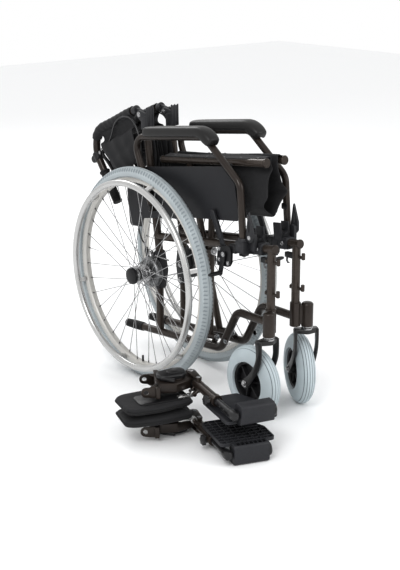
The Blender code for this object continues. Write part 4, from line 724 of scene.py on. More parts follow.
# Side frames. Welded steel tube in metallic bronze: a sloping upper tube, a front post with the
# caster barrel, a lower tube that rises in an S to the post, and a rear post that leans back into
# the lower cane. Plastic closes the tube ends, and the rear tips are ribbed rubber.
TUBE_R = 0.0110
SIDE_X = 0.0440
TILT = math.radians(7.0)
UPPER_FRONT = (-0.4765, 0.4617)
POST_Y = -0.4638
POST_FOOT_Z = 0.240
REAR_POST_Y = 0.002
LOWER_REAR = (0.150, 0.1067)
LOWER_DIP = (-0.268, 0.1400)
LOWER_RISE = (-0.335, 0.2620)
CANE_KNEE_Z = 0.36
CANE_TOP = (0.0565, 0.730)
HINGE = (0.072, 0.742)
ARM_PIVOT = (-0.012, 0.495)
ARM_X = 0.079
BRACE_Y = -0.190
BRACE_Z = 0.155
BRACE_POINT = Vector((0.0, BRACE_Y, BRACE_Z))
RAIL_R = 0.0110
RAIL_X = 0.0313
RAIL_FRONT = (-0.4265, 0.6756)
RAIL_ABOVE_TUBE = 0.0375
PIN_Y = -0.490
PIN_HEIGHTS = (0.427, 0.342)
AXLE_BOLT_STEP = 0.045
FOLD_AXIS = Vector((0.0, -math.cos(TILT), math.sin(TILT)))
FOLD_UP = Vector((0.0, math.sin(TILT), math.cos(TILT)))
bronze = coated("bronze_paint", (0.0250, 0.0185, 0.0150), 0.30, 0.35, specular=0.36, grain=1400.0,
                depth=0.00003, wear=0.25, worn=(0.20, 0.16, 0.13), coat=0.20, flakes=0.14)
charcoal = coated("charcoal_plastic", (0.0165, 0.0170, 0.0195), 0.46, specular=0.35, grain=1500.0,
                  depth=0.00006, wear=0.35, worn=(0.16, 0.16, 0.17))
dark_rubber = coated("black_rubber", (0.0120, 0.0120, 0.0125), 0.58, specular=0.30, grain=1100.0,
                     depth=0.00008, wear=0.15, worn=(0.09, 0.09, 0.09))


def upper_z(y):
    """Height of the upper tube's middle."""
    return UPPER_FRONT[1] - (y - UPPER_FRONT[0]) * math.tan(TILT)


def rail_z(y):
    """Height of the folded seat rail's middle."""
    return RAIL_FRONT[1] - (y - RAIL_FRONT[0]) * math.tan(TILT)


def rounded(corners, radii, step=math.radians(7.0)):
    """Points through the corners, each inner one replaced by an arc."""
    points = [Vector(corners[0])]
    for index in range(1, len(corners) - 1):
        here = Vector(corners[index])
        back = (Vector(corners[index - 1]) - here).normalized()
        onward = (Vector(corners[index + 1]) - here).normalized()
        half = back.angle(onward) / 2
        radius = radii[index - 1]
        centre = here + (back + onward).normalized() * radius / math.sin(half)
        first = here + back * radius / math.tan(half) - centre
        last = here + onward * radius / math.tan(half) - centre
        normal = first.cross(last).normalized()
        bend = math.pi - 2 * half
        count = max(1, math.ceil(bend / step))
        for k in range(count + 1):
            points.append(centre + Matrix.Rotation(bend * k / count, 3, normal) @ first)
    points.append(Vector(corners[-1]))
    return points


def tube(name, path, radius, sides=20, angle=50.0):
    """A round tube along a path, closed at its ends."""
    curve = bpy.data.curves.new(name, "CURVE")
    curve.dimensions = "3D"
    curve.bevel_depth = radius
    curve.bevel_resolution = sides // 2 - 2
    curve.use_fill_caps = True
    line = curve.splines.new("POLY")
    line.points.add(len(path) - 1)
    for slot, point in zip(line.points, path):
        slot.co = (*point, 1.0)
    made = bpy.data.objects.new(name, curve)
    bpy.context.scene.collection.objects.link(made)
    only(made)
    bpy.ops.object.convert(target="MESH")
    cleaned(0.000005, angle)
    return bpy.context.object


upper_rear_y = REAR_POST_Y + 0.002
sleeve_profile = [(0.0, 0.2370), (0.0134, 0.2370), (0.0144, 0.2380), (0.0144, 0.3010), (0.0134, 0.3022),
                  (0.0110, 0.3026), (0.0, 0.3026)]
barrel_profile = [(0.0, BARREL_FOOT_Z), (0.0148, BARREL_FOOT_Z), (0.0160, BARREL_FOOT_Z + 0.0012),
                  (0.0160, 0.2968), (0.0152, 0.2990), (0.0120, 0.3018), (0.0060, 0.3032), (0.0, 0.3035)]
web_outline = strap((SIDE_X, POST_Y), 0.0090, (BARREL_X, BARREL_Y), 0.0090)
lug_outline = strap((ARM_PIVOT[0] + 0.034, ARM_PIVOT[1]), 0.012, ARM_PIVOT, 0.0100)
lower_corners = [at(SIDE_X, pair) for pair in (LOWER_REAR, LOWER_DIP, LOWER_RISE, (POST_Y, LOWER_RISE[1]))]
rear_corners = [at(SIDE_X, pair) for pair in ((REAR_POST_Y, 0.122), (REAR_POST_Y, CANE_KNEE_Z), CANE_TOP)]
frame_tubes = [
    tube("upper_tube", [at(SIDE_X, UPPER_FRONT), at(SIDE_X, (upper_rear_y, upper_z(upper_rear_y)))], TUBE_R),
    tube("front_post", [(SIDE_X, POST_Y, POST_FOOT_Z), (SIDE_X, POST_Y, upper_z(POST_Y))], TUBE_R + 0.0003),
    lathe("sleeve", sleeve_profile, (SIDE_X, POST_Y, 0), Z, 32),
    lathe("barrel", barrel_profile, (BARREL_X, BARREL_Y, 0), Z, 36),
    plate("barrel_web", web_outline, X, Y, 0.2430, 0.2960, 0.0010),
    tube("lower_tube", rounded(lower_corners, (0.035, 0.035)), TUBE_R),
    tube("rear_post", rounded(rear_corners, (0.12,)), TUBE_R),
    side_plate("pivot_lug", lug_outline, SIDE_X + 0.002, SIDE_X + 0.009, 0.0010),
    rod("pivot_stub", at(SIDE_X + 0.004, ARM_PIVOT), at(0.0692, ARM_PIVOT), 0.0075),
]

# The brace pivots stand inboard of the side tubes by the amount that lets the rails reach their cups
lower_z = LOWER_REAR[1] + ((BRACE_Y - LOWER_REAR[0]) * (LOWER_DIP[1] - LOWER_REAR[1])
                           / (LOWER_DIP[0] - LOWER_REAR[0]))
drop = (BRACE_Z - lower_z) * math.cos(TILT)
upper_reach = (upper_z(BRACE_Y) - BRACE_Z) * math.cos(TILT)
folded_reach = (rail_z(BRACE_Y) - BRACE_Z) * math.cos(TILT)
open_x = 0.2
for _ in range(200):
    inset = (SIDE_X - RAIL_X) / (1 - RAIL_X / open_x)
    arm_length = math.hypot(folded_reach, SIDE_X + RAIL_X - inset)
    open_x = (math.sqrt(arm_length ** 2 - (upper_reach + RAIL_ABOVE_TUBE) ** 2) + inset) / 2
BRACE_X = SIDE_X - inset
folded_angle = math.atan2(SIDE_X + RAIL_X - inset, folded_reach)
upper_part = RAIL_X / math.sin(folded_angle)
CENTRE = BRACE_POINT + FOLD_UP * ((arm_length - upper_part) * math.cos(folded_angle))
ear_outline = strap((0.0, BRACE_X), 0.0095, (-drop, SIDE_X), 0.0085)
for low in (-0.0422, 0.0383):
    frame_tubes.append(plate("brace_ear", ear_outline, FOLD_UP, X, low, low + 0.0042, 0.0010, BRACE_POINT))
for z in PIN_HEIGHTS:
    frame_tubes += [
        rod("pin_arm", (SIDE_X, POST_Y + 0.019, z), (SIDE_X, PIN_Y, z), 0.0042),
        rod("pin", (SIDE_X, PIN_Y, z - 0.0050), (SIDE_X, PIN_Y, z + 0.0130), 0.0050, 0.0012),
        rod("pin_nut", (SIDE_X, POST_Y + 0.012, z), (SIDE_X, POST_Y + 0.018, z), 0.0072, 0.0006, 6),
    ]
side_frame = [painted(joined("side_tubes", frame_tubes), bronze)]

tip_profile = [(0.0, -0.0120), (0.0096, -0.0120), (0.0112, -0.0100)]
for ridge in range(8):
    s = -0.006 + 0.0085 * ridge
    r = 0.0118 + 0.0014 * min(1.0, ridge / 4)
    tip_profile += [(r, s), (r, s + 0.0050), (r - 0.0009, s + 0.0058), (r - 0.0009, s + 0.0078)]
tip_profile += [(0.0132, 0.0640), (0.0126, 0.0700), (0.0, 0.0700)]
tip_along = (lower_corners[1] - lower_corners[0]).normalized()
side_frame.append(painted(lathe("tip", tip_profile, lower_corners[0], tip_along, 28), dark_rubber))

block_outline = [(0.0385, 0.7040), (0.0615, 0.7000), (0.0625, 0.7380), (0.0385, 0.7420)]
back_outline = [(0.0366, 0.7060), (0.0394, 0.7050), (0.0388, 0.7620), (0.0370, 0.7630)]
rib_outline = [(0.0350, 0.7060), (0.0396, 0.7040), (0.0392, 0.7640), (0.0362, 0.7655)]
cheek_outline = hull(disc_at(HINGE, 0.0118) + [(0.0410, 0.7200), (0.0410, 0.7480), (0.0580, 0.7200)])
hinge_parts = [side_plate("hinge_block", block_outline, SIDE_X - 0.0145, SIDE_X + 0.0145, 0.0026, levels=3),
               side_plate("hinge_back", back_outline, SIDE_X - 0.0122, SIDE_X + 0.0122, 0.0005)]
for rib_x in (SIDE_X - 0.0110, SIDE_X, SIDE_X + 0.0110):
    hinge_parts.append(side_plate("hinge_rib", rib_outline, rib_x - 0.0022, rib_x + 0.0022, 0.0008))
for low in (SIDE_X - 0.0128, SIDE_X + 0.0062):
    hinge_parts.append(side_plate("hinge_cheek", cheek_outline, low, low + 0.0064, 0.0010))
side_frame.append(painted(joined("hinge", hinge_parts), charcoal))

upper_end = at(SIDE_X, UPPER_FRONT)
axle_outline = hull(disc_at((0, AXLE_Z), 0.022) + disc_at((REAR_POST_Y, AXLE_Z + AXLE_BOLT_STEP), 0.013)
                    + disc_at((REAR_POST_Y, AXLE_Z - AXLE_BOLT_STEP), 0.013))
side_frame += [
    painted(rod("front_plug", upper_end + FOLD_AXIS * 0.0042, upper_end - FOLD_AXIS * 0.0040, 0.0124, 0.0022,
                28), bronze),
    painted(side_plate("axle_plate", axle_outline, SIDE_X - 0.0135, SIDE_X + 0.0125, 0.0016), charcoal),
    painted(rod("axle_boss", (SIDE_X + 0.004, 0, AXLE_Z), (DRUM_X[0], 0, AXLE_Z), 0.0150, 0.001, 32),
            charcoal),
]
for z in (AXLE_Z + AXLE_BOLT_STEP, AXLE_Z, AXLE_Z - AXLE_BOLT_STEP):
    side_frame.append(bolt("axle_bolt", (SIDE_X - 0.0135, REAR_POST_Y * 0.5, z), -X, 0.0062, 0.0055))
pivot_cap = rod("pivot_cap", at(0.0882, ARM_PIVOT), at(0.0922, ARM_PIVOT), 0.0088, 0.0014)
brace_at = BRACE_POINT + X * BRACE_X
brace_bolt = rod("brace_bolt", brace_at - FOLD_AXIS * 0.0430, brace_at + FOLD_AXIS * 0.0430, 0.0045)
side_frame += [
    painted(pivot_cap, black_plastic),
    bolt("hinge_bolt", at(SIDE_X + 0.0126, HINGE), X, 0.0056, 0.0032),
    bolt("hinge_nut", at(SIDE_X - 0.0126, HINGE), -X, 0.0056, 0.0040),
    painted(brace_bolt, chrome),
    bolt("brace_nut", brace_at - FOLD_AXIS * 0.0424, -FOLD_AXIS, 0.0068, 0.0052),
    bolt("brace_nut", brace_at + FOLD_AXIS * 0.0424, FOLD_AXIS, 0.0068, 0.0052),
    bolt("lower_bolt", (SIDE_X + TUBE_R, -0.296, 0.1700), X, 0.0052, 0.0030),
    bolt("tube_bolt", (SIDE_X + TUBE_R, BRACE_Y, lower_z), X, 0.0056, 0.0030),
]
catch_outline = [(-0.4575, 0.4195), (-0.4275, 0.4195), (-0.4275, 0.4330), (-0.4575, 0.4345)]
hook_outline = widened([(-0.4345, 0.4200), (-0.4330, 0.4110), (-0.4370, 0.4050), (-0.4420, 0.4060)],
                       [0.0055, 0.0045, 0.0040, 0.0030])
side_frame += [
    painted(side_plate("catch_body", catch_outline, SIDE_X - 0.0080, SIDE_X + 0.0040, 0.0012),
            black_plastic),
    painted(side_plate("catch_hook", hook_outline, SIDE_X - 0.0060, SIDE_X - 0.0020, 0.0006), dark_steel),
]
both_sides(joined("side_frame", side_frame), "side_frame", "frame", "side_frame")


# Cross brace and seat rails. Two arms cross on one bolt; each turns in a sleeve between the ears
# of one lower tube and is welded to the seat rail of the other side. Rail ends have round caps.
ARM_OFFSET = 0.0128
ARM_TOP = arm_length * math.cos(folded_angle)
RAIL_REAR_Y = -0.005
RAIL_SCREWS_Y = (-0.395, -0.330, -0.262, -0.195, -0.128, -0.060)


def cross_arm(sign):
    """The arm whose foot is on the right; the sign says on which side of the other it lies."""
    offset = FOLD_AXIS * (ARM_OFFSET * sign)
    foot = BRACE_POINT - X * BRACE_X
    head = BRACE_POINT + X * RAIL_X + FOLD_UP * ARM_TOP
    front_end = at(RAIL_X, RAIL_FRONT)
    rear_end = at(RAIL_X, (RAIL_REAR_Y, rail_z(RAIL_REAR_Y)))
    parts = [
        tube("arm", [foot + offset, head + offset], 0.0095),
        rod("brace_sleeve", foot - FOLD_AXIS * 0.0374, foot + FOLD_AXIS * 0.0374, 0.0092, 0.0010, 28),
        tube("rail", [front_end, rear_end], RAIL_R, 24),
        rod("rail_cap", front_end + FOLD_AXIS * 0.0046, front_end - FOLD_AXIS * 0.0050, RAIL_R + 0.0013,
            0.0026, 30),
        rod("cross_boss", CENTRE + FOLD_AXIS * (0.0006 * sign), CENTRE + FOLD_AXIS * (0.0240 * sign), 0.0125,
            0.001),
    ]
    rail_plug = rod("rail_plug", rear_end, rear_end - FOLD_AXIS * 0.0040, RAIL_R + 0.0006, 0.0016)
    made = [painted(joined("arm_tubes", parts), bronze), painted(rail_plug, black_plastic),
            bolt("cross_nut", CENTRE + FOLD_AXIS * (0.0240 * sign), FOLD_AXIS * sign, 0.0085, 0.0052)]
    for y in RAIL_SCREWS_Y:
        screw_foot = Vector((RAIL_X, y, rail_z(y) + RAIL_R + 0.0004))
        made.append(painted(rod("rail_screw", screw_foot, screw_foot + Z * 0.0024, 0.0036, 0.0008),
                            dark_steel))
    return joined("cross_arm", made)


for side, sign, across in (("right", 1.0, "left"), ("left", -1.0, "right")):
    arm = cross_arm(sign)
    stand(arm, side + "_cross_arm", PLACES[across], side + "_arm", side + "_cross_arm")
    bpy.data.objects.remove(arm, do_unlink=True)


# Seat cloth. One black nylon sheet is screwed along both rails. With the chair folded it stands
# up in a roll between the rails and hangs below them in a deep fold that bellies out in front.
NYLON_BLACK = (0.0185, 0.0185, 0.0198)
NYLON_ROUGHNESS = 0.72
SEAT_REAR_Y = -0.016
SEAT_LENGTH = 0.406
SEAT_HANG = 0.138
SEAT_ROWS = 32
HANG_STEPS = 16
CUP_ROOM = 0.0112
FREE_ROOM = 0.0560
CUP_REAR_Y = -0.362
SEAT_FOLDS = {"left": (0.026, 0.62, 0.0050, 1.7), "right": (0.034, 0.84, 0.0012, 0.4)}
weave_group, weave_in, weave_out = new_group(
    "plain_weave",
    (("Place on cloth", "NodeSocketVector", None), ("Threads per metre", "NodeSocketFloat", 1400.0)),
    ("Height",))
thread_parts = add_node(weave_group, "SeparateXYZ", Vector=weave_in.outputs["Place on cloth"])
waves = []
for direction in ("X", "Y"):
    turns = maths(weave_group, "MULTIPLY", thread_parts.outputs[direction],
                  weave_in.outputs["Threads per metre"])
    waves.append(maths(weave_group, "SINE", maths(weave_group, "MULTIPLY", turns, math.pi)))
raised = maths(weave_group, "ADD", maths(weave_group, "MULTIPLY", *waves), 1.0)
feed(weave_group, weave_out.inputs["Height"], maths(weave_group, "MULTIPLY", raised, 0.5))

# Nylon cloth whose weave follows its own UV map, with soft creases and a slight sheen. The weave's
# raised threads are painted lighter than the hollows between them, as painted highlight and shade.
nylon, tree, shader = new_material("black_nylon")
coordinates = tree.nodes.new("ShaderNodeTexCoord").outputs
weave = add_node(tree, "Group", weave_group, Place_on_cloth=coordinates["UV"]).outputs["Height"]
surface = add_node(tree, "Group", grain_group, Position=coordinates["Object"], Grain_per_metre=55.0,
                   Blotch_per_metre=9.0).outputs
shade = two_tones(tree, surface["Blotch"], 0.30, [c * 0.75 for c in NYLON_BLACK],
                  [c * 1.25 for c in NYLON_BLACK])
rough = add_node(tree, "MapRange", Value=surface["Blotch"], To_Min=NYLON_ROUGHNESS - 0.10,
                 To_Max=NYLON_ROUGHNESS + 0.10)
threads = add_node(tree, "Bump", Height=weave, Distance=0.00012, Strength=0.5)
creases = add_node(tree, "Bump", Height=surface["Height"], Distance=0.0012, Strength=0.7,
                   Normal=threads.outputs["Normal"])
# Weave height lightens the colour: painted highlight on raised threads, painted shade between them
set_inputs(tree, shader, {
    "Base Color": mixed(tree, maths(tree, "MULTIPLY", weave, 0.35), shade, [c * 2.0 for c in NYLON_BLACK]),
    "Roughness": rough.outputs["Result"], "Normal": creases.outputs["Normal"], "Specular IOR Level": 0.22,
    "Sheen Weight": 0.06, "Sheen Roughness": 0.5})


def cloth(name, grid, thickness=0.0016):
    """A nylon sheet through rows of points, its UV map in metres; also gives its flat size and area."""
    rows, columns = len(grid), len(grid[0])
    points = [point for row in grid for point in row]
    faces = [(i * columns + j, i * columns + j + 1, (i + 1) * columns + j + 1, (i + 1) * columns + j)
             for i in range(rows - 1) for j in range(columns - 1)]
    made = bare(name, points, (), faces)
    down = [0.0]
    for i in range(1, rows):
        down.append(down[-1] + (grid[i][columns // 2] - grid[i - 1][columns // 2]).length)
    across = []
    for row in grid:
        run = [0.0]
        for j in range(1, columns):
            run.append(run[-1] + (row[j] - row[j - 1]).length)
        across.append(run)
    layer = made.data.uv_layers.new(name="UVMap")
    for loop in made.data.loops:
        i, j = divmod(loop.vertex_index, columns)
        layer.data[loop.index].uv = (across[i][j], down[i])
    applied(made, "SUBSURF", levels=1, render_levels=1)
    area = sum(face.area for face in made.data.polygons)
    width = max(run[-1] for run in across)
    applied(made, "SOLIDIFY", thickness=thickness, offset=0.0)
    made.data.shade_smooth()
    return painted(made, nylon), (width, max(down[-1], area / width)), area


def eased(t):
    """A smooth step from 0 to 1 over the same range of t."""
    t = min(1.0, max(0.0, t))
    return t * t * (3 - 2 * t)


def creased(t, peak):
    """A fold that rises in a straight line to its crease at the peak and falls back to nothing."""
    return max(0.0, min(t / peak, (1 - t) / (1 - peak))) ** 1.15


def seat_cloth(belly, peak, crumpling, seed):
    """Half of the seat, from the top of its rail up and over, then down to the middle of the fold."""
    grid = []
    for i in range(SEAT_ROWS + 1):
        y = SEAT_REAR_Y - SEAT_LENGTH * i / SEAT_ROWS
        ahead_share = eased((-y - 0.285) / 0.115)
        beside_cup = eased((CUP_REAR_Y - y) / 0.018)
        wrap = [(RAIL_X + 0.0072, RAIL_R * 0.81), (RAIL_X + 0.0035, RAIL_R + 0.0004),
                (RAIL_X - 0.0035, RAIL_R + 0.0012), (0.0205, 0.0140),
                (0.0140, 0.0165 + 0.0030 * math.sin(17 * y + seed)), (0.0105, 0.0120), (0.0125, 0.0020),
                (0.0165, -0.0060)]
        row = []
        for index, (a, b) in enumerate(wrap):
            inner = min(a, CUP_ROOM) if b < 0.0010 else a
            top = b
            if index < 3:
                inner = RAIL_X - 0.0010 - 0.0012 * index
                top = RAIL_R + 0.0009
            row.append(Vector((a + (inner - a) * beside_cup, y, rail_z(y) + b + (top - b) * beside_cup)))
        for j in range(1, HANG_STEPS + 1):
            t = j / HANG_STEPS
            fold = 0.0040 * math.sin(38.0 * y + 7.0 * t + seed) * math.sin(math.pi * t)
            crumple = crumpling * ahead_share * math.cos(11.0 * (t - peak)) * math.sin(math.pi * t) ** 0.6
            out = 0.0165 * (1 - t) ** 0.8 + 0.0012 + belly * ahead_share * creased(t, peak)
            forward = ahead_share * (0.008 * math.sin(math.pi * t * 0.9)
                                     + 0.004 * math.sin(13 * t + seed) * (1 - t ** 3))
            lift = 0.030 * ahead_share * math.sin(9.0 * t + seed) * t * (1 - t)
            room = max(0.0016, out + (fold if t > 0.12 else 0.0) + crumple)
            if j == HANG_STEPS:
                room = 0.0
            near_cup = beside_cup * (1 - eased((t - 0.12) / 0.26))
            room = min(room, FREE_ROOM + (CUP_ROOM - FREE_ROOM) * near_cup)
            row.append(Vector((room, y - forward, rail_z(y) - 0.006 - SEAT_HANG * t + lift)))
        grid.append(row)
    return grid


for side, folds in SEAT_FOLDS.items():
    sheet, flat, area = cloth("seat_half", seat_cloth(*folds))
    made = stand(sheet, side + "_seat_cloth", PLACES[side], None, side + "_seat_sling")
    bpy.data.objects.remove(sheet, do_unlink=True)
    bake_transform(made)


# Seat brackets. A moulded charcoal clamp round the front of each upper tube carries the open cup
# that the seat rail drops into, and an outrigger with the armrest's socket and its latch.
BRACKET_HALF_X = 0.0155
CLAMP_FRONT_Y = -0.441
CLAMP_BOLT_Y = -0.4250
CUP_Y = -0.411
LATCH_PIVOT = (-0.4200, 0.488)
LATCH_TOP_Z = 0.554
LATCH_X = (0.0757, 0.0823)
ARM_TUBE_R = 0.0095
ARM_PATH = ((0.069, 0.6825), (-0.242, 0.7225), (-0.3815, 0.6205), (-0.3945, 0.4635))
SOCKET_Y = ARM_PATH[-1][0]


def rounded_outline(outline, radius):
    """A flat outline with each corner turned into an arc."""
    corners = [Vector((a, b, 0)) for a, b in outline]
    found = []
    for index, here in enumerate(corners):
        back = corners[index - 1] - here
        onward = corners[(index + 1) % len(corners)] - here
        half = back.angle(onward) / 2
        reach = min(radius / math.tan(half), back.length * 0.45, onward.length * 0.45)
        points = rounded((here + back, here, here + onward), (reach * math.tan(half),), math.radians(15.0))
        found += [(point.x, point.y) for point in points[1:-1]]
    return found


def cut_out(piece, tools):
    """The piece with the tools' shapes cut from it."""
    only(piece)
    for tool in tools:
        applied(piece, "BOOLEAN", operation="DIFFERENCE", solver="EXACT", object=tool)
        bpy.data.objects.remove(tool, do_unlink=True)
    bpy.ops.object.shade_smooth_by_angle(angle=math.radians(35.0))
    return piece


def along_tube(y):
    """A point on the upper tube's middle."""
    return Vector((SIDE_X, y, upper_z(y)))


def scaled(outline, wider, higher=1.0):
    """The outline made wider and higher about its origin."""
    return [(a * wider, b * higher) for a, b in outline]


clamp_outline = rounded_outline(box(-BRACKET_HALF_X, -0.0158, BRACKET_HALF_X, 0.0150), 0.0065)
bracket = [plate("clamp", clamp_outline, X, FOLD_UP, -0.069, 0.0, 0.0012, along_tube(CLAMP_FRONT_Y))]
for s in (-0.012, -0.0345, -0.057):
    bracket.append(plate("clamp_rib", scaled(clamp_outline, 1.05, 1.05), X, FOLD_UP, s - 0.0016, s + 0.0016,
                         0.0005, along_tube(CLAMP_FRONT_Y)))
room = RAIL_R + 0.0008
trough = [(room * math.cos(math.radians(a)), RAIL_ABOVE_TUBE + room * math.sin(math.radians(a)))
          for a in range(0, -181, -15)]
cup_outline = [(-BRACKET_HALF_X, 0.0100), (BRACKET_HALF_X, 0.0100), (BRACKET_HALF_X, 0.0530),
               (0.0142, 0.0545), (room, 0.0545), *trough, (-room, 0.0545), (-0.0142, 0.0545),
               (-BRACKET_HALF_X, 0.0530)]
bracket.append(plate("cup", cup_outline, X, FOLD_UP, -0.0140, 0.0140, 0.0008, along_tube(CUP_Y)))
for s in (-0.0140, 0.0125):
    bracket.append(plate("cup_lip", scaled(cup_outline, 1.06), X, FOLD_UP, s, s + 0.0015, 0.0004,
                         along_tube(CUP_Y)))
reach_outline = rounded_outline([(0.052, 0.4400), (0.0890, 0.4420), (0.0930, 0.4500), (0.0930, 0.4750),
                                 (0.052, 0.4750)], 0.004)
socket_profile = [(0.0104, 0.4620), (0.0104, 0.4830), (0.0128, 0.4834), (0.0142, 0.4815), (0.0150, 0.4700),
                  (0.0150, 0.4620)]
y, z = LATCH_PIVOT
cheek_outline = rounded_outline([(y - 0.0120, 0.4520), (y + 0.0130, 0.4520), (y + 0.0130, 0.4960),
                                 (y - 0.0040, 0.5020), (y - 0.0120, 0.4960)], 0.004)
bracket += [
    plate("outrigger", reach_outline, X, Z, -(SOCKET_Y + 0.0160), -(SOCKET_Y - 0.0150), 0.0014),
    lathe("socket", socket_profile, (ARM_X, SOCKET_Y, 0.0), Z, 32, ring=True),
    side_plate("latch_cheek", cheek_outline, LATCH_X[0] - 0.0105, LATCH_X[0] - 0.0004, 0.0010),
]
details = [painted(joined("bracket", bracket), charcoal),
           bolt("latch_bolt", at(LATCH_X[1], LATCH_PIVOT), X, 0.0044, 0.0026)]
for sign in (1, -1):
    clamp_side = along_tube(CLAMP_BOLT_Y) + X * (BRACKET_HALF_X * sign) + Z * 0.0010
    details.append(bolt("clamp_bolt", clamp_side, X * sign, 0.0046, 0.0032))
both_sides(joined("seat_bracket", details), "seat_bracket", "frame", "seat_bracket")

arrow = [(y - 0.0134, z + 0.0100), (y - 0.0134, z + 0.0180), (y - 0.0100, z + 0.0240),
         (y + 0.0022, LATCH_TOP_Z - 0.003), (y + 0.0038, LATCH_TOP_Z), (y + 0.0055, LATCH_TOP_Z - 0.003),
         (y + 0.0105, z + 0.0240), (y + 0.0120, z + 0.0180), (y + 0.0120, z + 0.0085)]
round_foot = [(y + a, z + b) for a, b in ring_of(0.0138, 28) if b < 0.0070]
latch = side_plate("latch", hull(arrow + round_foot), *LATCH_X, 0.0012)
slot = side_plate("slot", strap((y, z + 0.0165), 0.0028, (y + 0.001, z + 0.0400), 0.0022),
                  LATCH_X[0] - 0.01, LATCH_X[1] + 0.01, 0.0)
both_sides(painted(cut_out(latch, [slot]), charcoal), "arm_latch", "latch", "arm_latch")


# Armrests. One bent steel tube swings up about its rear end and drops into the socket in front.
# A self-skinned foam pad is screwed on top, and a thin moulded skirt guard keeps clothes off the wheel.
ARM_BENDS = (0.035, 0.045, 0.040)
PAD_X = 0.083
SKIRT_X = (0.0664, 0.0690)
SKIRT_OUTLINE = ((0.112, 0.590), (0.117, 0.521), (0.106, 0.420), (0.045, 0.426), (0.044, 0.452),
                 (-0.185, 0.495), (-0.367, 0.519), (-0.346, 0.616), (-0.297, 0.652))
foam_skin = coated("foam_skin", (0.0125, 0.0120, 0.0120), 0.42, specular=0.38, grain=1900.0, depth=0.00010,
                   tone=0.10, wear=0.25, worn=(0.06, 0.058, 0.055))
guard_plastic = coated("guard_plastic", (0.0155, 0.0160, 0.0188), 0.48, specular=0.32, grain=1700.0,
                       depth=0.00009, tone=0.08, wear=0.4, worn=(0.10, 0.10, 0.11))
arm_line = rounded([at(ARM_X, pair) for pair in (ARM_PIVOT, *ARM_PATH)], ARM_BENDS)
arm_parts = [tube("arm_tube", arm_line, ARM_TUBE_R),
             rod("arm_eye", at(ARM_X - ARM_TUBE_R, ARM_PIVOT), at(ARM_X + ARM_TUBE_R, ARM_PIVOT), 0.0118,
                 0.0012, 28)]
armrest = [painted(joined("arm_tube", arm_parts), bronze)]
for y, z in ((-0.330, 0.6575), (-0.3880, 0.5420)):
    saddle_outline = rounded_outline(box(y - 0.010, z - 0.008, y + 0.010, z + 0.008), 0.003)
    armrest.append(painted(side_plate("saddle", saddle_outline, 0.0690, 0.0720, 0.0008), black_plastic))
both_sides(joined("armrest_tube", armrest), "armrest_tube", "armrest", "armrest_tube")


def skinned(name, rings):
    """A closed soft form through rings of points, rounded by subdivision."""
    count = len(rings[0])
    points = [point for ring in rings for point in ring]
    faces = [tuple(range(count))[::-1]]
    for i in range(len(rings) - 1):
        for j in range(count):
            n = (j + 1) % count
            faces.append((i * count + j, i * count + n, (i + 1) * count + n, (i + 1) * count + j))
    faces.append(tuple(range((len(rings) - 1) * count, len(rings) * count)))
    made = bare(name, points, (), faces)
    applied(made, "SUBSURF", levels=1, render_levels=1)
    cleaned()
    made.data.shade_smooth()
    return made


pad_points = [point for point in arm_line if -0.292 < point.y < -0.004 and point.z > 0.655]
slope = (ARM_PATH[1][1] - ARM_PATH[0][1]) / (ARM_PATH[1][0] - ARM_PATH[0][0])
pad_start = Vector((ARM_X, 0.0, ARM_PATH[0][1] - slope * ARM_PATH[0][0]))
pad_tail = (pad_points[-1] - pad_points[-2]).normalized()
pad_shares = (0.0, 0.012, 0.06, 0.20, 0.40, 0.60, 0.80)
stations = [pad_start.lerp(pad_points[0], share) for share in pad_shares] + pad_points
stations += [pad_points[-1] + pad_tail * s for s in (0.010, 0.019, 0.0225)]
pad_half = [(0.0110, 0.0300), (0.0190, 0.0272), (0.0226, 0.0200), (0.0232, 0.0090), (0.0218, 0.0030),
            (0.0150, 0.0020), (0.0100, 0.0060)]
pad_section = [(0.0, 0.0304), *pad_half, (0.0, 0.0098)] + [(-a, b) for a, b in pad_half[::-1]]
pad_rings = []
for index, point in enumerate(stations):
    before = stations[max(0, index - 1)]
    after = stations[min(len(stations) - 1, index + 1)]
    lift = (after - before).cross(X).normalized()
    if lift.z < 0:
        lift.negate()
    from_end = min(index, len(stations) - 1 - index)
    taper = {0: 0.60, 1: 0.88, 2: 0.97}.get(from_end, 1.0)
    centre = Vector((PAD_X, point.y, point.z))
    pad_rings.append([centre + X * (a * taper) + lift * (0.012 + (b - 0.012) * taper)
                      for a, b in pad_section])
pad = painted(skinned("arm_pad", pad_rings), foam_skin)
for made in both_sides(pad, "arm_pad", "armrest", "arm_pad"):
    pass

guard = [painted(side_plate("guard", rounded_outline(SKIRT_OUTLINE, 0.011), *SKIRT_X, 0.0008),
                 guard_plastic)]
rivet_profile = [(0.0, 0.0688), (0.0046, 0.0688), (0.0044, 0.0696), (0.0026, 0.0706), (0.0, 0.0708)]
for pair in ((0.0553, 0.4706), (0.0950, 0.5400)):
    guard.append(painted(lathe("rivet", rivet_profile, at(0, pair), X, 20), chrome))
both_sides(joined("skirt_guard", guard), "skirt_guard", "armrest", "skirt_guard")


# Back canes. The upper half of each cane folds back and down on a pin between the hinge cheeks.
# It bends round to the push handle, where a black clamp carries the hand-brake lever.
CANE_START = (0.0960, 0.7523)
CANE_CORNER = (0.3386, 0.6493)
CANE_BEND = 0.068
GRIP_START = (0.262, 0.551)
GRIP_RIDGES = 13
grip_at = at(SIDE_X, GRIP_START)
handle_along = (grip_at - at(SIDE_X, CANE_CORNER)).normalized()
handle_down = handle_along.cross(X).normalized()
if handle_down.y > 0:
    handle_down.negate()
clamp_at = grip_at - handle_along * 0.050
lever_pivot = clamp_at + handle_down * 0.0230


def side_view(point):
    """The point's (y, z) place as the chair's side shows it."""
    return point.y, point.z


def by_handle(start, along, down):
    """A point at distances along the handle and below it."""
    return start + handle_along * along + handle_down * down


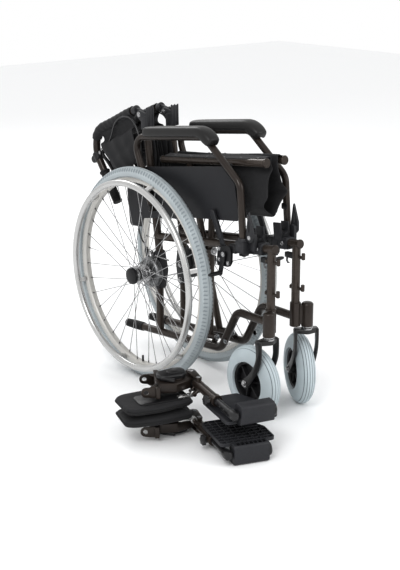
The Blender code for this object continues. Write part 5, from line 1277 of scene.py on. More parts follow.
def above_clamp(x):
    """A point on the axis of the clamp's cable disc."""
    return by_handle(clamp_at, 0.0, -0.0175) + X * x


cane_corners = [at(SIDE_X, CANE_START), at(SIDE_X, CANE_CORNER), by_handle(grip_at, 0.070, 0.0)]
cane_line = rounded(cane_corners, (CANE_BEND,))
cane_first = (cane_corners[1] - cane_corners[0]).normalized()
lug = side_plate("cane_lug", strap(HINGE, 0.0108, (0.1040, 0.7490), 0.0104), SIDE_X - 0.0056,
                 SIDE_X + 0.0056, 0.0010)
collar = rod("collar", cane_corners[0] - cane_first * 0.0010, cane_corners[0] + cane_first * 0.016,
             TUBE_R + 0.0016, 0.0010, 28)
clamp_ring = rod("clamp_ring", by_handle(clamp_at, -0.0125, 0.0), by_handle(clamp_at, 0.0125, 0.0),
                 TUBE_R + 0.0022, 0.0014, 32)
clamp_disc = rod("clamp_disc", above_clamp(-0.0090), above_clamp(0.0090), 0.0104, 0.0022, 32)
shell_outline = strap(side_view(by_handle(clamp_at, 0.0, -0.0150)), 0.0096,
                      side_view(by_handle(clamp_at, 0.0, 0.0080)), 0.0118, 28)
clamp_shell = side_plate("clamp_shell", shell_outline, SIDE_X - 0.0112, SIDE_X + 0.0112, 0.0032)
upper_cane = [
    painted(tube("cane", cane_line, TUBE_R), bronze),
    painted(joined("lug", [lug, collar]), charcoal),
    painted(clamp_ring, black_plastic),
    painted(clamp_disc, black_plastic),
    bolt("clamp_screw", above_clamp(0.0088), X, 0.0036, 0.0024),
    painted(clamp_shell, black_plastic),
]
ear_outline = strap(side_view(lever_pivot), 0.0068, side_view(by_handle(clamp_at, 0.0, 0.006)), 0.0084)
for low in (SIDE_X - 0.0074, SIDE_X + 0.0047):
    upper_cane.append(painted(side_plate("clamp_ear", ear_outline, low, low + 0.0027, 0.0008),
                              black_plastic))
for sign in (-1, 1):
    upper_cane.append(bolt("lever_pin", lever_pivot + X * (0.0073 * sign), X * sign, 0.0036, 0.0022))
both_sides(joined("upper_cane", upper_cane), "upper_cane", "cane", "upper_cane")

lever_stops = ((-0.004, 0.0), (0.018, 0.004), (0.045, 0.0125), (0.080, 0.0180), (0.105, 0.0200))
lever_line = curve_through([by_handle(lever_pivot, along, down) for along, down in lever_stops], 6)
lever_section = ((-1, -0.6), (-0.6, -1), (0.6, -1), (1, -0.6), (1, 0.6), (0.6, 1), (-0.6, 1), (-1, 0.6))
lever_rings = []
for index, point in enumerate(lever_line):
    share = index / (len(lever_line) - 1)
    taper = {0: 0.7, len(lever_line) - 1: 0.55, len(lever_line) - 2: 0.9}.get(index, 1.0)
    wide = (0.0040 + 0.0016 * eased(share * 2.0)) * taper
    thick = (0.0046 - 0.0008 * share) * taper
    lever_rings.append([point + X * (a * wide) + handle_down * (b * thick) for a, b in lever_section])
both_sides(painted(skinned("hand_lever", lever_rings), black_plastic), "hand_lever", "hand_lever",
           "brake_lever")

grip_profile = [(0.0116, 0.0), (0.0150, 0.0), (0.0160, 0.0010), (0.0160, 0.0040), (0.0146, 0.0056)]
for ridge in range(GRIP_RIDGES):
    s = 0.0090 + 0.0068 * ridge
    grip_profile += [(0.0130, s), (0.0136, s + 0.0006), (0.0136, s + 0.0040), (0.0130, s + 0.0046)]
grip_profile += [(0.0134, 0.0990), (0.0142, 0.1010), (0.0144, 0.1030), (0.0134, 0.1052), (0.0090, 0.1062),
                 (0.0, 0.1062)]
both_sides(painted(lathe("grip", grip_profile, grip_at, handle_along, 36), dark_rubber), "push_grip",
           "cane", "push_grip")


# Brake cables. A black sleeved cable leaves each lever, arches over the folded cane and loops down
# behind the armrest to the arm on the drum brake, with a metal ferrule at each end.
CABLE_R = 0.0024
FERRULE_R = 0.0034
cable_x = 0.0574
cable_sleeve = coated("cable_sleeve", (0.022, 0.022, 0.024), 0.30, grain=1600.0, depth=0.00001, wear=0.1,
                      worn=(0.10, 0.10, 0.10), coat=0.25)
cable_route = [at(SIDE_X, side_view(by_handle(lever_pivot, -0.008, 0.0045))), (0.0460, 0.248, 0.622),
               (0.0500, 0.216, 0.660), (0.0600, 0.182, 0.704), (cable_x, 0.148, 0.727),
               (cable_x, 0.104, 0.724), (cable_x, 0.074, 0.688), (cable_x, 0.062, 0.640),
               (cable_x, 0.066, 0.580), (cable_x, 0.072, 0.520), (cable_x, 0.080, 0.460),
               (cable_x + 0.001, 0.080, 0.420), (cable_x + 0.003, 0.066, 0.390), (0.0620, 0.046, 0.3720)]
cable_line = curve_through(cable_route, 6)
last_step = cable_line[-1] - cable_line[-3]
lower_ferrule = rod("ferrule", cable_line[-1] - last_step * 0.9,
                    cable_line[-1] + last_step.normalized() * 0.004, FERRULE_R, 0.0006, 16)
upper_ferrule = rod("ferrule", cable_line[0], cable_line[3], FERRULE_R, 0.0006, 16)
cable = [painted(tube("cable", cable_line, CABLE_R, 12, 80.0), cable_sleeve),
         painted(lower_ferrule, chrome), painted(upper_ferrule, chrome)]
cables = both_sides(joined("brake_cable", cable), "brake_cable", None, "brake_cable")
for side, sign, made in (("left", 1.0, cables[0]), ("right", -1.0, cables[1])):
    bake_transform(made)


# Back cloth. Black nylon is sleeved over both halves of the canes. Folded, the lower part stands in
# pleats between the canes, and the upper part hangs from the turned-down canes in loose flaps.
BACK_THICKNESS = 0.0012
UPPER_ROWS = 36
LOWER_ROWS = 28
LOWER_BACK_Z = (0.470, 0.702)
SLEEVE_R = 0.0146
# Each part of the upper cloth's section, from the sleeve outwards and back in: (across, below the cane)
HOLLOW = [(0.0020, 0.0205), (-0.0040, 0.0290), (-0.0050, 0.0370)]
EDGE = [(0.0000, 0.0430), (0.0070, 0.0446), (0.0115, 0.0476), (0.0124, 0.0525)]
OUTER_FLAP = [(0.0126, 0.0600), (0.0125, 0.0680), (0.0122, 0.0760), (0.0118, 0.0840), (0.0113, 0.0920),
              (0.0106, 0.1000), (0.0098, 0.1080), (0.0088, 0.1160), (0.0076, 0.1250), (0.0050, 0.1330),
              (0.0005, 0.1360), (-0.0050, 0.1320), (-0.0080, 0.1180), (-0.0100, 0.0900)]
UPPER_PLEATS = [(-0.0125, 0.0620), (-0.0150, 0.0560), (-0.0178, 0.0640), (-0.0195, 0.0950),
                (-0.0215, 0.1180), (-0.0238, 0.1080), (-0.0252, 0.0760), (-0.0272, 0.0600),
                (-0.0300, 0.0700), (-0.0318, 0.1040), (-0.0342, 0.1260), (-0.0364, 0.1100),
                (-0.0378, 0.0800), (-0.0398, 0.0680), (-0.0416, 0.0860), (-0.0430, 0.1240)]
LOWER_PLEATS = [(0.0326, 0.004), (0.0318, -0.008), (0.0290, -0.012), (0.0268, 0.002), (0.0252, 0.020),
                (0.0225, 0.028), (0.0200, 0.014), (0.0182, -0.006), (0.0158, -0.012), (0.0135, 0.002),
                (0.0115, 0.022), (0.0090, 0.032), (0.0066, 0.020), (0.0050, 0.002), (0.0034, -0.004),
                (0.0018, 0.010), (0.0010, 0.026)]
cane_direction = (at(0, CANE_TOP) - Vector((0, REAR_POST_Y, CANE_KNEE_Z))).normalized()


def cane_at(reach):
    """Point and direction at a distance along the upper cane."""
    left_over = reach
    for first, second in zip(cane_line, cane_line[1:]):
        step = (second - first).length
        if left_over <= step:
            return first.lerp(second, left_over / step), (second - first).normalized()
        left_over -= step
    return cane_line[-1], (cane_line[-1] - cane_line[-2]).normalized()


def sleeve_point(share, degrees):
    """A point of the sleeve round the cane, with its creases and its pinched ends."""
    middle, along = cane_at(0.020 + 0.212 * share)
    outward = Vector((0.0, -along.z, along.y))
    angle = math.radians(degrees)
    pinch = 0.0012 * math.exp(-((share - 0.04) / 0.05) ** 2)
    pinch += 0.0010 * math.exp(-((share - 0.97) / 0.03) ** 2)
    crease = 0.0010 * math.sin(62 * share + 2.2 * angle) + 0.0007 * math.sin(101 * share - 3.1 * angle + 1)
    radius = SLEEVE_R + crease - pinch + 0.0012 * math.sin(5 * share + angle)
    return middle + outward * (math.sin(angle) * radius) - X * (math.cos(angle) * radius)


def flap_point(share, across, depth, base, up):
    """A point of the hollow, the edge or the outer flap, which sags, folds and ripples."""
    late = eased(share * 3 - 2)
    hang = max(0.0, depth - 0.045)
    bend = 0.010 * math.sin(math.pi * min(1.0, depth / 0.10)) * late
    slide = bend - 0.16 * hang * late + 0.10 * hang * (1 - share)
    sag = 0.0040 * math.sin(math.pi * share) * (1 if depth > 0.03 else 0.3)
    if across > 0:
        fold_at = 0.078 + 0.020 * share
        across += 0.0030 * math.sin(math.pi * share) * math.sin(math.pi * min(1.0, hang / 0.085))
        fold = 0.0032 * math.exp(-((depth - fold_at) / 0.0075) ** 2)
        across -= fold * eased(share * 4) * eased(4 - share * 4)
        across += 0.0010 * math.sin(19 * share + 40 * depth) * eased((depth - 0.016) / 0.026)
    return base + cane_first * slide + X * across - up * (depth + sag - 0.0016 * math.sin(14 * share))


def upper_back():
    """Sleeve round the cane, a hollow below it, the folded flap outside and pleats within."""
    up = Vector((0.0, -cane_first.z, cane_first.y))
    grid = []
    for i in range(UPPER_ROWS + 1):
        share = i / UPPER_ROWS
        row = [sleeve_point(share, degrees) for degrees in range(-60, 261, 20)]
        base = at(SIDE_X, CANE_START) + cane_first * (0.030 + 0.158 * share)
        row += [flap_point(share, across, depth, base, up) for across, depth in HOLLOW + EDGE + OUTER_FLAP]
        for j, (across, depth) in enumerate(UPPER_PLEATS):
            drift = 0.30 * depth * share + 0.003 * math.sin(7 * share + j)
            sideways = across + 0.0008 * math.sin(17 * share + 3 * j)
            deeper = depth * (0.94 + 0.06 * math.sin(11 * share + 2 * j))
            row.append(base + cane_first * drift + X * sideways - up * deeper)
        for point in row:
            point.x = max(0.0009, point.x)
        grid.append(row)
    return grid


def lower_back():
    """Pleats between the lower canes, gathered towards the middle."""
    grid = []
    for i in range(LOWER_ROWS + 1):
        share = i / LOWER_ROWS
        z = LOWER_BACK_Z[0] + (LOWER_BACK_Z[1] - LOWER_BACK_Z[0]) * share
        cane_y = REAR_POST_Y + (z - CANE_KNEE_Z) * cane_direction.y / cane_direction.z
        row = []
        for j, (x, back) in enumerate(LOWER_PLEATS):
            sway = 0.0035 * math.sin(8 * share + x * 170) + 0.0014 * math.sin(23 * share + j)
            if 0 < j < len(LOWER_PLEATS) - 1:
                x = max(0.0010, min(0.0326, x + 0.0009 * math.sin(11 * share + j * 1.3)))
            row.append(Vector((x, cane_y + back + sway, z)))
        grid.append(row)
    return grid


sheet, flat, area = cloth("upper_back", upper_back(), BACK_THICKNESS)
for made in both_sides(sheet, "upper_back_cloth", "cane", "upper_back_sling"):
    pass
sheet, flat, area = cloth("lower_back", lower_back(), BACK_THICKNESS)
for made in both_sides(sheet, "lower_back_cloth", "frame", "lower_back_sling"):
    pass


# Parking brakes. A black clamp on each upper tube holds a toggle plate; pushing the lever turns
# the shoe's arm until its bar presses on the tyre. Bolts and the lever's pin are bright steel.
BRAKE_PIVOT = (-0.333, 0.429)
SHOE_BAR = (-0.322, 0.377)
LEVER_PIVOT = (-0.318, 0.436)
LEVER_TOP = (-0.270, 0.530)
LINK_END = (-0.3100, 0.4100)
TOGGLE_BOLTS = (LINK_END, (-0.3450, 0.4060), (-0.3100, 0.4390))
BRAKE_Y = -0.3560
clamp_centre = along_tube(BRAKE_Y)
clamp_section = mirrored([(0.0160, 0.0115), (0.0150, 0.0125), (0.0112, 0.0125)])
jaw_outline = rounded_outline(box(-0.020, -0.009, 0.004, 0.009), 0.003)
bridge_outline = rounded_outline(box(0.0540, -0.0130, 0.0820, 0.0100), 0.003)
body_outline = rounded_outline([(-0.356, 0.441), (-0.352, 0.452), (-0.305, 0.446), (-0.300, 0.400),
                                (-0.306, 0.393), (-0.347, 0.396), (-0.355, 0.408)], 0.006)
spacer_outline = [(-0.352, 0.440), (-0.330, 0.446), (-0.330, 0.438), (-0.350, 0.430)]
brake_parts = [
    lathe("brake_clamp", clamp_section, clamp_centre, FOLD_AXIS, 36, ring=True),
    plate("clamp_jaw", jaw_outline, FOLD_UP, X, -0.0100, 0.0100, 0.0010, clamp_centre - FOLD_UP * 0.006),
    plate("bridge", bridge_outline, X, Z, -(BRAKE_Y + 0.014), -(BRAKE_Y - 0.010), 0.0012,
          Z * upper_z(BRAKE_Y)),
    side_plate("toggle_plate", body_outline, 0.0796, 0.0826, 0.0008),
    side_plate("toggle_plate", body_outline, 0.0858, 0.0885, 0.0008),
    side_plate("spacer", spacer_outline, 0.0820, 0.0862, 0.0004),
]
parking_body = [painted(joined("brake_body", brake_parts), black_plastic),
                bolt("toggle_bolt", at(0.0950, BRAKE_PIVOT), X, 0.0050, 0.0036)]
parking_body += [bolt("toggle_bolt", at(0.0885, pair), X, 0.0044, 0.0034) for pair in TOGGLE_BOLTS]
parking_body += [
    bolt("lever_bolt", at(0.0738, LEVER_PIVOT), -X, 0.0046, 0.0034),
    bolt("jaw_bolt", clamp_centre - FOLD_UP * 0.0260, -FOLD_UP, 0.0040, 0.0040),
    painted(rod("toggle_pin", at(0.0840, BRAKE_PIVOT), at(0.0955, BRAKE_PIVOT), 0.0032), chrome),
    painted(rod("lever_pin", at(0.0735, LEVER_PIVOT), at(0.0860, LEVER_PIVOT), 0.0032), chrome),
    painted(rod("link", at(0.0842, BRAKE_PIVOT), at(0.0842, LINK_END), 0.0022), chrome),
]
both_sides(joined("parking_body", parking_body), "parking_body", "frame", "parking_body")

lever_base = at(0.0, LEVER_PIVOT)
lever_along = (at(0.0, LEVER_TOP) - lever_base).normalized()
neck, low_end, high_end = [side_view(lever_base + lever_along * s) for s in (0.042, 0.036, 0.1020)]
handle_outline = hull(disc_at(low_end, 0.0078, 28) + disc_at(high_end, 0.0088, 28))
lever_parts = [side_plate("lever_bar", strap(LEVER_PIVOT, 0.0084, neck, 0.0066), 0.0742, 0.0792, 0.0008),
               side_plate("lever_handle", handle_outline, 0.0712, 0.0818, 0.0034, levels=3)]
both_sides(painted(joined("parking_lever", lever_parts), charcoal), "parking_lever", "brake_handle",
           "parking_lever")

shoe_profile = [(0.0, 0.0924), (0.0058, 0.0924), (0.0058, 0.1180), (0.0050, 0.1270), (0.0034, 0.1330),
                (0.0016, 0.1352), (0.0, 0.1354)]
shoe_parts = [side_plate("shoe_plate", strap(BRAKE_PIVOT, 0.0082, SHOE_BAR, 0.0078), 0.0924, 0.0950, 0.0008),
              lathe("shoe_bar", shoe_profile, at(0.0, SHOE_BAR), X, 24)]
both_sides(painted(joined("parking_shoe", shoe_parts), black_plastic), "parking_shoe", "brake_shoe",
           "parking_shoe")


# Legrests. Two elevating legrests, taken off and stacked flat on the floor beside the chair. Each is
# a pressed bronze hanger with a black ratchet, a telescopic tube, a moulded footplate and a calf pad.
LEG_ANGLE = math.radians(20.0)
LEG_DOWN = Vector((0, math.sin(LEG_ANGLE), -math.cos(LEG_ANGLE)))
LEG_FRONT = Vector((0, math.cos(LEG_ANGLE), math.sin(LEG_ANGLE)))
LEG_TUBE = (0.034, 0.155)
LEG_TUBE_R = 0.0125
EXTENSION = (0.045, 0.243)
EXTENSION_R = 0.0092
HOOK_Y = -0.120
HOOK_HEIGHTS = (-0.005, -0.090)
CALF_HINGE = (-0.018, 0.0180)
CLAMP_DOWN = 0.142
# Each legrest's knee, the way its tube points down the leg, and the way its front faces
LEGREST_LIES = {"left": ((-0.240, -0.385, 0.0262), (-0.338, -0.943, 0.0), (0.943, -0.338, 0.0)),
                "right": ((-0.236, -0.370, 0.1319), (-0.2415, -0.968, -0.055), (0.968, -0.2415, -0.012))}
leg_black = coated("leg_black", (0.0100, 0.0100, 0.0110), 0.32, specular=0.42, grain=1500.0, depth=0.00005,
                   tone=0.10, wear=0.4, worn=(0.10, 0.10, 0.10), coat=0.15)
footplate_plastic = coated("footplate_plastic", (0.0180, 0.0188, 0.0222), 0.46, specular=0.34, grain=1700.0,
                           depth=0.00009, tone=0.10, wear=0.5, worn=(0.13, 0.13, 0.14))
latch_zinc = coated("latch_zinc", (0.62, 0.62, 0.61), 0.30, metallic=1, grain=700.0, depth=0.00003,
                    tone=0.10, wear=0.2)


def leg_point(down, front, x=0.0):
    """A point at distances down the leg tube from the knee and in front of it."""
    return LEG_DOWN * down + LEG_FRONT * front + X * x


def leg_plate(name, outline, low, high, soft):
    """A plate whose outline is given as (down, front) pairs, between two X values."""
    return side_plate(name, [side_view(leg_point(down, front)) for down, front in outline], low, high, soft)


def leg_place(side):
    """The matrix that lays a legrest in its place in the stack."""
    knee, down, front = (Vector(part) for part in LEGREST_LIES[side])
    down.normalize()
    front = (front - down * front.dot(down)).normalized()
    inboard = down.cross(front)
    if (inboard.z < 0) == (side == "left"):
        inboard.negate()
    local_y = down * math.sin(LEG_ANGLE) + front * math.cos(LEG_ANGLE)
    local_z = -down * math.cos(LEG_ANGLE) + front * math.sin(LEG_ANGLE)
    matrix = Matrix((inboard, local_y, local_z)).transposed().to_4x4()
    matrix.translation = knee
    return Matrix.Translation(MOVE) @ matrix


LEGREST_PLACES = {side: leg_place(side) for side in ("left", "right")}
hanger_outline = rounded_outline([(-0.0900, -0.0720), (-0.0900, 0.0200), (-0.0300, 0.0240),
                                  (-0.0040, 0.0190), (0.0160, 0.0070), (0.0160, -0.0140),
                                  (-0.0060, -0.0400), (-0.0400, -0.0660)], 0.007)
hanger = [side_plate("hanger_body", hanger_outline, -0.0130, 0.0130, 0.0035, levels=3)]
pressed_ribs = [strap((-0.080, 0.0080), 0.0042, (-0.018, 0.0100), 0.0042),
                strap((-0.082, -0.0120), 0.0048, (-0.004, -0.0080), 0.0048),
                strap((-0.080, -0.0340), 0.0042, (-0.030, -0.0400), 0.0042)]
for low in (-0.0156, 0.0120):
    hanger += [side_plate("pressed_rib", outline, low, low + 0.0036, 0.0014) for outline in pressed_ribs]
spine_outline = rounded_outline(box(-0.0962, -0.0980, -0.0838, 0.0200), 0.003)
hanger.append(side_plate("spine", spine_outline, -0.0152, 0.0152, 0.0016))
tongue = hull(disc_at((0.0, HOOK_Y), 0.0128, 32) + [(-0.0152, -0.0880), (0.0152, -0.0880)])
for z, lift in zip(HOOK_HEIGHTS, (-0.022, 0.026)):
    hook = plate("hook", tongue, X, Y, z - 0.0024, z + 0.0024, 0.0007)
    hole = rod("hook_hole", (0, HOOK_Y, z - 0.02), (0, HOOK_Y, z + 0.02), 0.0062, 0.0, 28)
    hanger.append(cut_out(hook, [hole]))
    gusset = [(-0.0890, z), (-0.1110, z), (-0.1060, z + lift * 0.35), (-0.0890, z + lift)]
    hanger += [side_plate("gusset", gusset, low, low + 0.0030, 0.0006) for low in (-0.0152, 0.0122)]
ratchet_outline = hull(disc_at((-0.040, -0.016), 0.0258, 36) + disc_at((-0.070, -0.030), 0.0218, 36))
cap_outline = strap((-0.034, -0.014), 0.0165, (-0.052, -0.022), 0.0130, 28)
release_outline = strap((-0.074, -0.046), 0.0075, (-0.050, -0.058), 0.0050)
housing = [side_plate("ratchet", ratchet_outline, -0.0264, -0.0120, 0.0042, levels=3),
           side_plate("ratchet_cap", cap_outline, -0.0292, -0.0250, 0.0016),
           side_plate("release", release_outline, -0.0230, -0.0150, 0.0020)]
hanger_parts = [
    painted(joined("hanger_metal", hanger), bronze),
    painted(joined("housing", housing), leg_black),
    painted(rod("knee_pin", (-0.0222, 0, 0), (0.0222, 0, 0), 0.0050, 0.0006, 24), dark_steel),
    bolt("knee_bolt", (0.0204, 0, 0), X, 0.0060, 0.0030),
    bolt("knee_bolt", (-0.0204, 0, 0), -X, 0.0060, 0.0030),
    bolt("rivet_bolt", (0.0150, -0.0700, -0.0030), X, 0.0036, 0.0018),
]
both_sides(joined("hanger", hanger_parts), "hanger", "legrest", "hanger", LEGREST_PLACES)

tube_top, tube_foot = LEG_TUBE
bore = EXTENSION_R + 0.0004
bridge_down = tube_top + 0.012
outer_profile = [(bore, 0.060), (bore, tube_foot), (0.0119, tube_foot), (0.0125, tube_foot - 0.0008),
                 (LEG_TUBE_R, tube_top + 0.001), (0.0115, tube_top), (0.0, tube_top), (0.0, 0.060)]
collar_profile = [(0.0122, tube_foot - 0.0150), (0.0140, tube_foot - 0.0150), (0.0148, tube_foot - 0.0142),
                  (0.0148, tube_foot - 0.0010), (0.0140, tube_foot), (0.0122, tube_foot)]
cheek_outline = hull(disc_at((0.0, 0.0), 0.0124, 28) + disc_at((bridge_down, 0.0), 0.0086, 24))
leg_metal = [
    lathe("outer_tube", outer_profile, (0, 0, 0), LEG_DOWN, 40),
    lathe("collar", collar_profile, (0, 0, 0), LEG_DOWN, 40, ring=True),
    rod("clamp_boss", leg_point(CLAMP_DOWN, -0.008), leg_point(CLAMP_DOWN, -LEG_TUBE_R - 0.0058), 0.0084,
        0.0010, 28),
    rod("calf_arm", leg_point(0.0370, *CALF_HINGE), leg_point(0.0670, *CALF_HINGE), 0.0049, 0.0006, 24),
]
for down in (0.0405, 0.0635):
    leg_metal.append(rod("calf_bracket", leg_point(down, -0.004, 0.004), leg_point(down, *CALF_HINGE),
                         0.0038, 0.0004, 20))
for low in (-0.0201, 0.0165):
    leg_metal.append(leg_plate("knee_cheek", cheek_outline, low, low + 0.0036, 0.0008))
leg_metal.append(rod("knee_bridge", leg_point(bridge_down, 0, -0.0193), leg_point(bridge_down, 0, 0.0193),
                     0.0079, 0.0008, 24))
leg_parts = [painted(joined("leg_metal", leg_metal), bronze)]
for sign in (1, -1):
    leg_parts.append(bolt("bridge_bolt", leg_point(bridge_down, 0, 0.0200 * sign), X * sign, 0.0042,
                          0.0022))
both_sides(joined("leg_tube", leg_parts), "leg_tube", "leg", "leg_tube", LEGREST_PLACES)

FOOT_BLOCK = (0.0125, 0.1050)
end = EXTENSION[1]
face = FOOT_BLOCK[1] + 0.0006
inner_profile = [(0.0, EXTENSION[0]), (EXTENSION_R, EXTENSION[0]), (EXTENSION_R, end - 0.016),
                 (0.0112, end - 0.014), (0.0120, end - 0.010), (0.0120, end + 0.008),
                 (0.0104, end + 0.0125), (0.0060, end + 0.0146), (0.0, end + 0.0150)]
disc_profile = [(0.0, face), (0.0166, face), (0.0172, face + 0.0008), (0.0172, face + 0.0048),
                (0.0160, face + 0.0064), (0.0100, face + 0.0070), (0.0, face + 0.0070)]
inner = [lathe("inner_tube", inner_profile, (0, 0, 0), LEG_DOWN, 36),
         rod("foot_axle", leg_point(end, 0), leg_point(end, face + 0.004), 0.0075, 0.0004, 28),
         lathe("foot_disc", disc_profile, leg_point(end, 0), LEG_FRONT, 40)]
extension = [painted(joined("inner", inner), leg_black),
             bolt("disc_bolt", leg_point(end, face + 0.0068), LEG_FRONT, 0.0060, 0.0036)]
for down in (0.166, 0.186, 0.206):
    dimple = rod("dimple", leg_point(down, -EXTENSION_R + 0.0006), leg_point(down, -EXTENSION_R - 0.0003),
                 0.0030, 0.0, 18)
    extension.append(painted(dimple, dark_steel))
both_sides(joined("extension", extension), "extension", "shank", "extension", LEGREST_PLACES)


# Footplates. A hollow black moulding with a lattice of thin ribs under its board and low ridges
# on the tread. Its block turns on the extension's axle, with pockets that leave a row of fins.
FOOT_BLOCK_HALF_X = 0.0255
PLATE_FRONT = (-0.0140, 0.1280)
PLATE_REACH = 0.150
CUT_CORNER = 0.042
CUT_CORNER_DOWN = 0.072
POCKETS = 7
POCKET_STEP = 0.0112
RIBS_ALONG = 8
RIBS_ACROSS = 9
RIB_HALF = 0.0009
RIB_X = (0.0220, 0.0268)
TREAD_RIDGES = 9
near, far = end - 0.004, end - PLATE_REACH
inner_front, outer_front = PLATE_FRONT


def centred(points):
    """The middle of some flat points."""
    return Vector((sum(a for a, _ in points) / len(points), sum(b for _, b in points) / len(points)))


def resized(points, middle, scale):
    """The flat points drawn in or out from the middle."""
    return [tuple(middle + (Vector(point) - middle) * scale) for point in points]


def lengthwise_ribs():
    """Thin ribs along the board, each ended where its outline is cut back."""
    ribs = []
    for index in range(1, RIBS_ALONG):
        share = index / RIBS_ALONG
        front = inner_front + (outer_front - inner_front) * share
        past_cut = share > 0.68
        first = Vector((near - 0.003, front))
        second = Vector((end - 0.078 if past_cut else far + 0.006, front))
        across = Vector((0.0, -RIB_HALF))
        ribs.append(leg_plate("board_rib", [tuple(first + across), tuple(second + across),
                                            tuple(second - across), tuple(first - across)], *RIB_X, 0.0002))
    return ribs


block_outline = rounded_outline(box(-FOOT_BLOCK_HALF_X, -0.0180, FOOT_BLOCK_HALF_X, 0.0180), 0.008)
block = plate("foot_block", block_outline, X, LEG_DOWN, *FOOT_BLOCK, 0.0016, leg_point(end, 0))
pockets = []
for index in range(POCKETS):
    front = FOOT_BLOCK[0] + 0.0100 + index * POCKET_STEP
    opening = box(end - 0.0120, front, end + 0.0120, front + 0.0080)
    pockets.append(leg_plate("pocket", opening, 0.0175, 0.04, 0.0))
corners = rounded_outline([(near, inner_front), (near, outer_front), (end - CUT_CORNER_DOWN, outer_front),
                           (far, outer_front - CUT_CORNER), (far, inner_front + 0.010),
                           (far + 0.012, inner_front)], 0.010)
rim_wall = leg_plate("board_rim", corners, 0.0222, 0.0272, 0.0004)
hollow = leg_plate("board_hollow", resized(corners, centred(corners), 0.965), 0.0200, 0.0400, 0.0)
board = [cut_out(block, pockets), leg_plate("foot_board", corners, 0.0180, 0.0226, 0.0010),
         cut_out(rim_wall, [hollow]), *lengthwise_ribs()]
for index in range(1, RIBS_ACROSS):
    down = near - (near - far) * index / RIBS_ACROSS
    rib_end = outer_front - 0.003
    if down <= end - CUT_CORNER_DOWN:
        rib_end -= CUT_CORNER * (end - CUT_CORNER_DOWN - down) / (PLATE_REACH - CUT_CORNER_DOWN)
    board.append(leg_plate("cross_rib", box(down - RIB_HALF, inner_front + 0.003, down + RIB_HALF, rib_end),
                           *RIB_X, 0.0002))
for index in range(TREAD_RIDGES):
    front = inner_front + 0.014 + index * 0.0125
    board.append(leg_plate("tread_ridge", box(end - 0.066, front, near - 0.012, front + 0.0030), 0.0170,
                           0.0184, 0.0005))
footplate = painted(joined("footplate", board), footplate_plastic)
spring_front = FOOT_BLOCK[1] + 0.0004
stop_spring = leg_plate("stop_spring", box(end - 0.004, spring_front, end - 0.0010, spring_front + 0.0002),
                        -0.0200, -0.0150, 0.0)
both_sides(joined("footplate", [footplate, painted(stop_spring, chrome)]), "footplate", "foot", "footplate",
           LEGREST_PLACES)


# Clamp knobs. A black six-winged knob on each leg tube's boss locks the extension. Each turns
# on a stem that runs through the boss to the tube.
KNOB_WINGS = 6
base = LEG_TUBE_R + 0.0063
knob_profile = [(0.0, base), (0.0095, base), (0.0110, base + 0.0010), (0.0115, base + 0.0040),
                (0.0105, base + 0.0100), (0.0070, base + 0.0122), (0.0, base + 0.0126)]
knob = [lathe("knob_core", knob_profile, leg_point(CLAMP_DOWN, 0), -LEG_FRONT, 32),
        rod("knob_stem", leg_point(CLAMP_DOWN, -0.0132), leg_point(CLAMP_DOWN, -base - 0.003), 0.0034,
            0.0003, 20)]
for index in range(KNOB_WINGS):
    angle = math.tau * index / KNOB_WINGS
    place = leg_point(CLAMP_DOWN, 0) + (LEG_DOWN * math.cos(angle) + X * math.sin(angle)) * 0.0100
    knob.append(rod("wing", place - LEG_FRONT * (base + 0.0006), place - LEG_FRONT * (base + 0.0108),
                    0.0034, 0.0012, 16))
both_sides(painted(joined("knob", knob), leg_black), "clamp_knob", "clamp_knob", "knob",
           LEGREST_PLACES)


# Calf pads. Foam boards covered in black nylon, swung inwards on a pin behind each tube. The cover
# starts as a rounded board and is blown out by a short cloth simulation, held at its seam and back.
CALF_THICK = 0.026
CALF_WIDE = 0.118
CALF_LONG = 0.185
PAD_LOW_X = 0.0262
SEAM_X = PAD_LOW_X + CALF_THICK * 0.42
SETTLING_FRAMES = 20


def inflated(piece, holder, pressure):
    """Lets the cover settle outwards for the settling frames and keeps the result."""
    cover = piece.modifiers.new("cover", "CLOTH")
    cover.settings.quality = 6
    cover.settings.mass = 0.25
    cover.settings.tension_stiffness = 30.0
    cover.settings.compression_stiffness = 12.0
    cover.settings.bending_stiffness = 0.35
    cover.settings.use_pressure = True
    cover.settings.uniform_pressure_force = pressure
    cover.settings.vertex_group_mass = holder
    cover.settings.effector_weights.gravity = 0.0
    cover.collision_settings.use_collision = False
    cover.point_cache.frame_start = 1
    cover.point_cache.frame_end = SETTLING_FRAMES
    scene = bpy.context.scene
    for step in range(1, SETTLING_FRAMES + 1):
        scene.frame_set(step)
    bpy.ops.object.modifier_apply(modifier=cover.name)
    scene.frame_set(1)


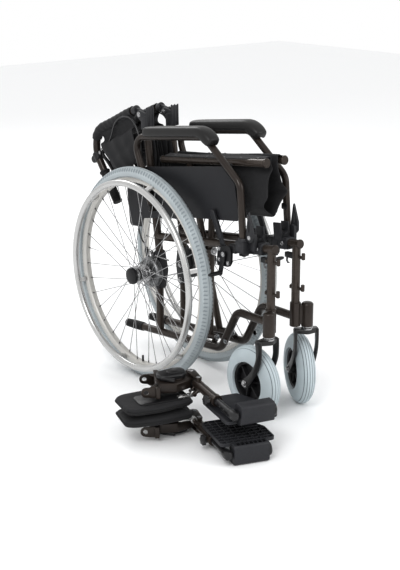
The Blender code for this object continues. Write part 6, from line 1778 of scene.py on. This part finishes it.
pad_front, pad_back = -0.0215, -0.0185 - CALF_LONG
pad_top, pad_bottom = -0.0335, -0.0365 + CALF_WIDE
pad_outline = rounded_outline([(pad_top + 0.004, pad_back + 0.020), (pad_top + 0.016, pad_back),
                               (pad_bottom - 0.016, pad_back), (pad_bottom - 0.004, pad_back + 0.020),
                               (pad_bottom, (pad_front + pad_back) / 2), (pad_bottom - 0.014, pad_front),
                               (pad_top + 0.014, pad_front), (pad_top, (pad_front + pad_back) / 2)], 0.016)
pad_centre = centred(pad_outline)


def pad_ring(x, scale):
    """The pad's outline at a distance across it, drawn in or out."""
    return [leg_point(down, front, x) for down, front in resized(pad_outline, pad_centre, scale)]


pad_steps = ((0.0, 0.965), (0.0035, 1.0), (CALF_THICK * 0.45, 1.0), (CALF_THICK * 0.72, 0.965),
             (CALF_THICK * 0.90, 0.88))
pad = skinned("calf_pad", [pad_ring(PAD_LOW_X + rise, scale) for rise, scale in pad_steps])
pad.data.remesh_voxel_size = 0.0045
bpy.ops.object.voxel_remesh()
holder = pad.vertex_groups.new(name="held")
for vertex in pad.data.vertices:
    at_seam = abs(vertex.co.x - SEAM_X) < 0.0024
    if vertex.co.x < PAD_LOW_X + 0.0034 or at_seam:
        holder.add([vertex.index], 1.0, "REPLACE")
inflated(pad, "held", 4.0)
applied(pad, "SUBSURF", levels=1, render_levels=1)
pad.data.shade_smooth()
seam_points = pad_ring(SEAM_X, 1.004)
board_outline = rounded_outline(box(0.0050, -0.1650, 0.0620, -0.0450), 0.012)
calf_pad = [
    painted(pad, nylon),
    painted(tube("piping", [*seam_points, seam_points[0]], 0.0017, 10, 80.0), dark_rubber),
    painted(leg_plate("pad_board", board_outline, 0.0236, 0.0266, 0.0010), leg_black),
    painted(leg_plate("pad_tab", box(0.0462, -0.0600, 0.0578, -0.0162), 0.0196, 0.0268, 0.0012), latch_zinc),
    painted(rod("pad_knuckle", leg_point(0.0452, *CALF_HINGE), leg_point(0.0588, *CALF_HINGE), 0.0083,
                0.0010, 28), latch_zinc),
]
for front in (-0.030, -0.050):
    calf_pad.append(bolt("pad_screw", leg_point(0.0520, front, 0.0196), -X, 0.0038, 0.0020))
for made in both_sides(joined("calf_pad", calf_pad), "calf_pad", "calf", "calf_pad",
                       LEGREST_PLACES):
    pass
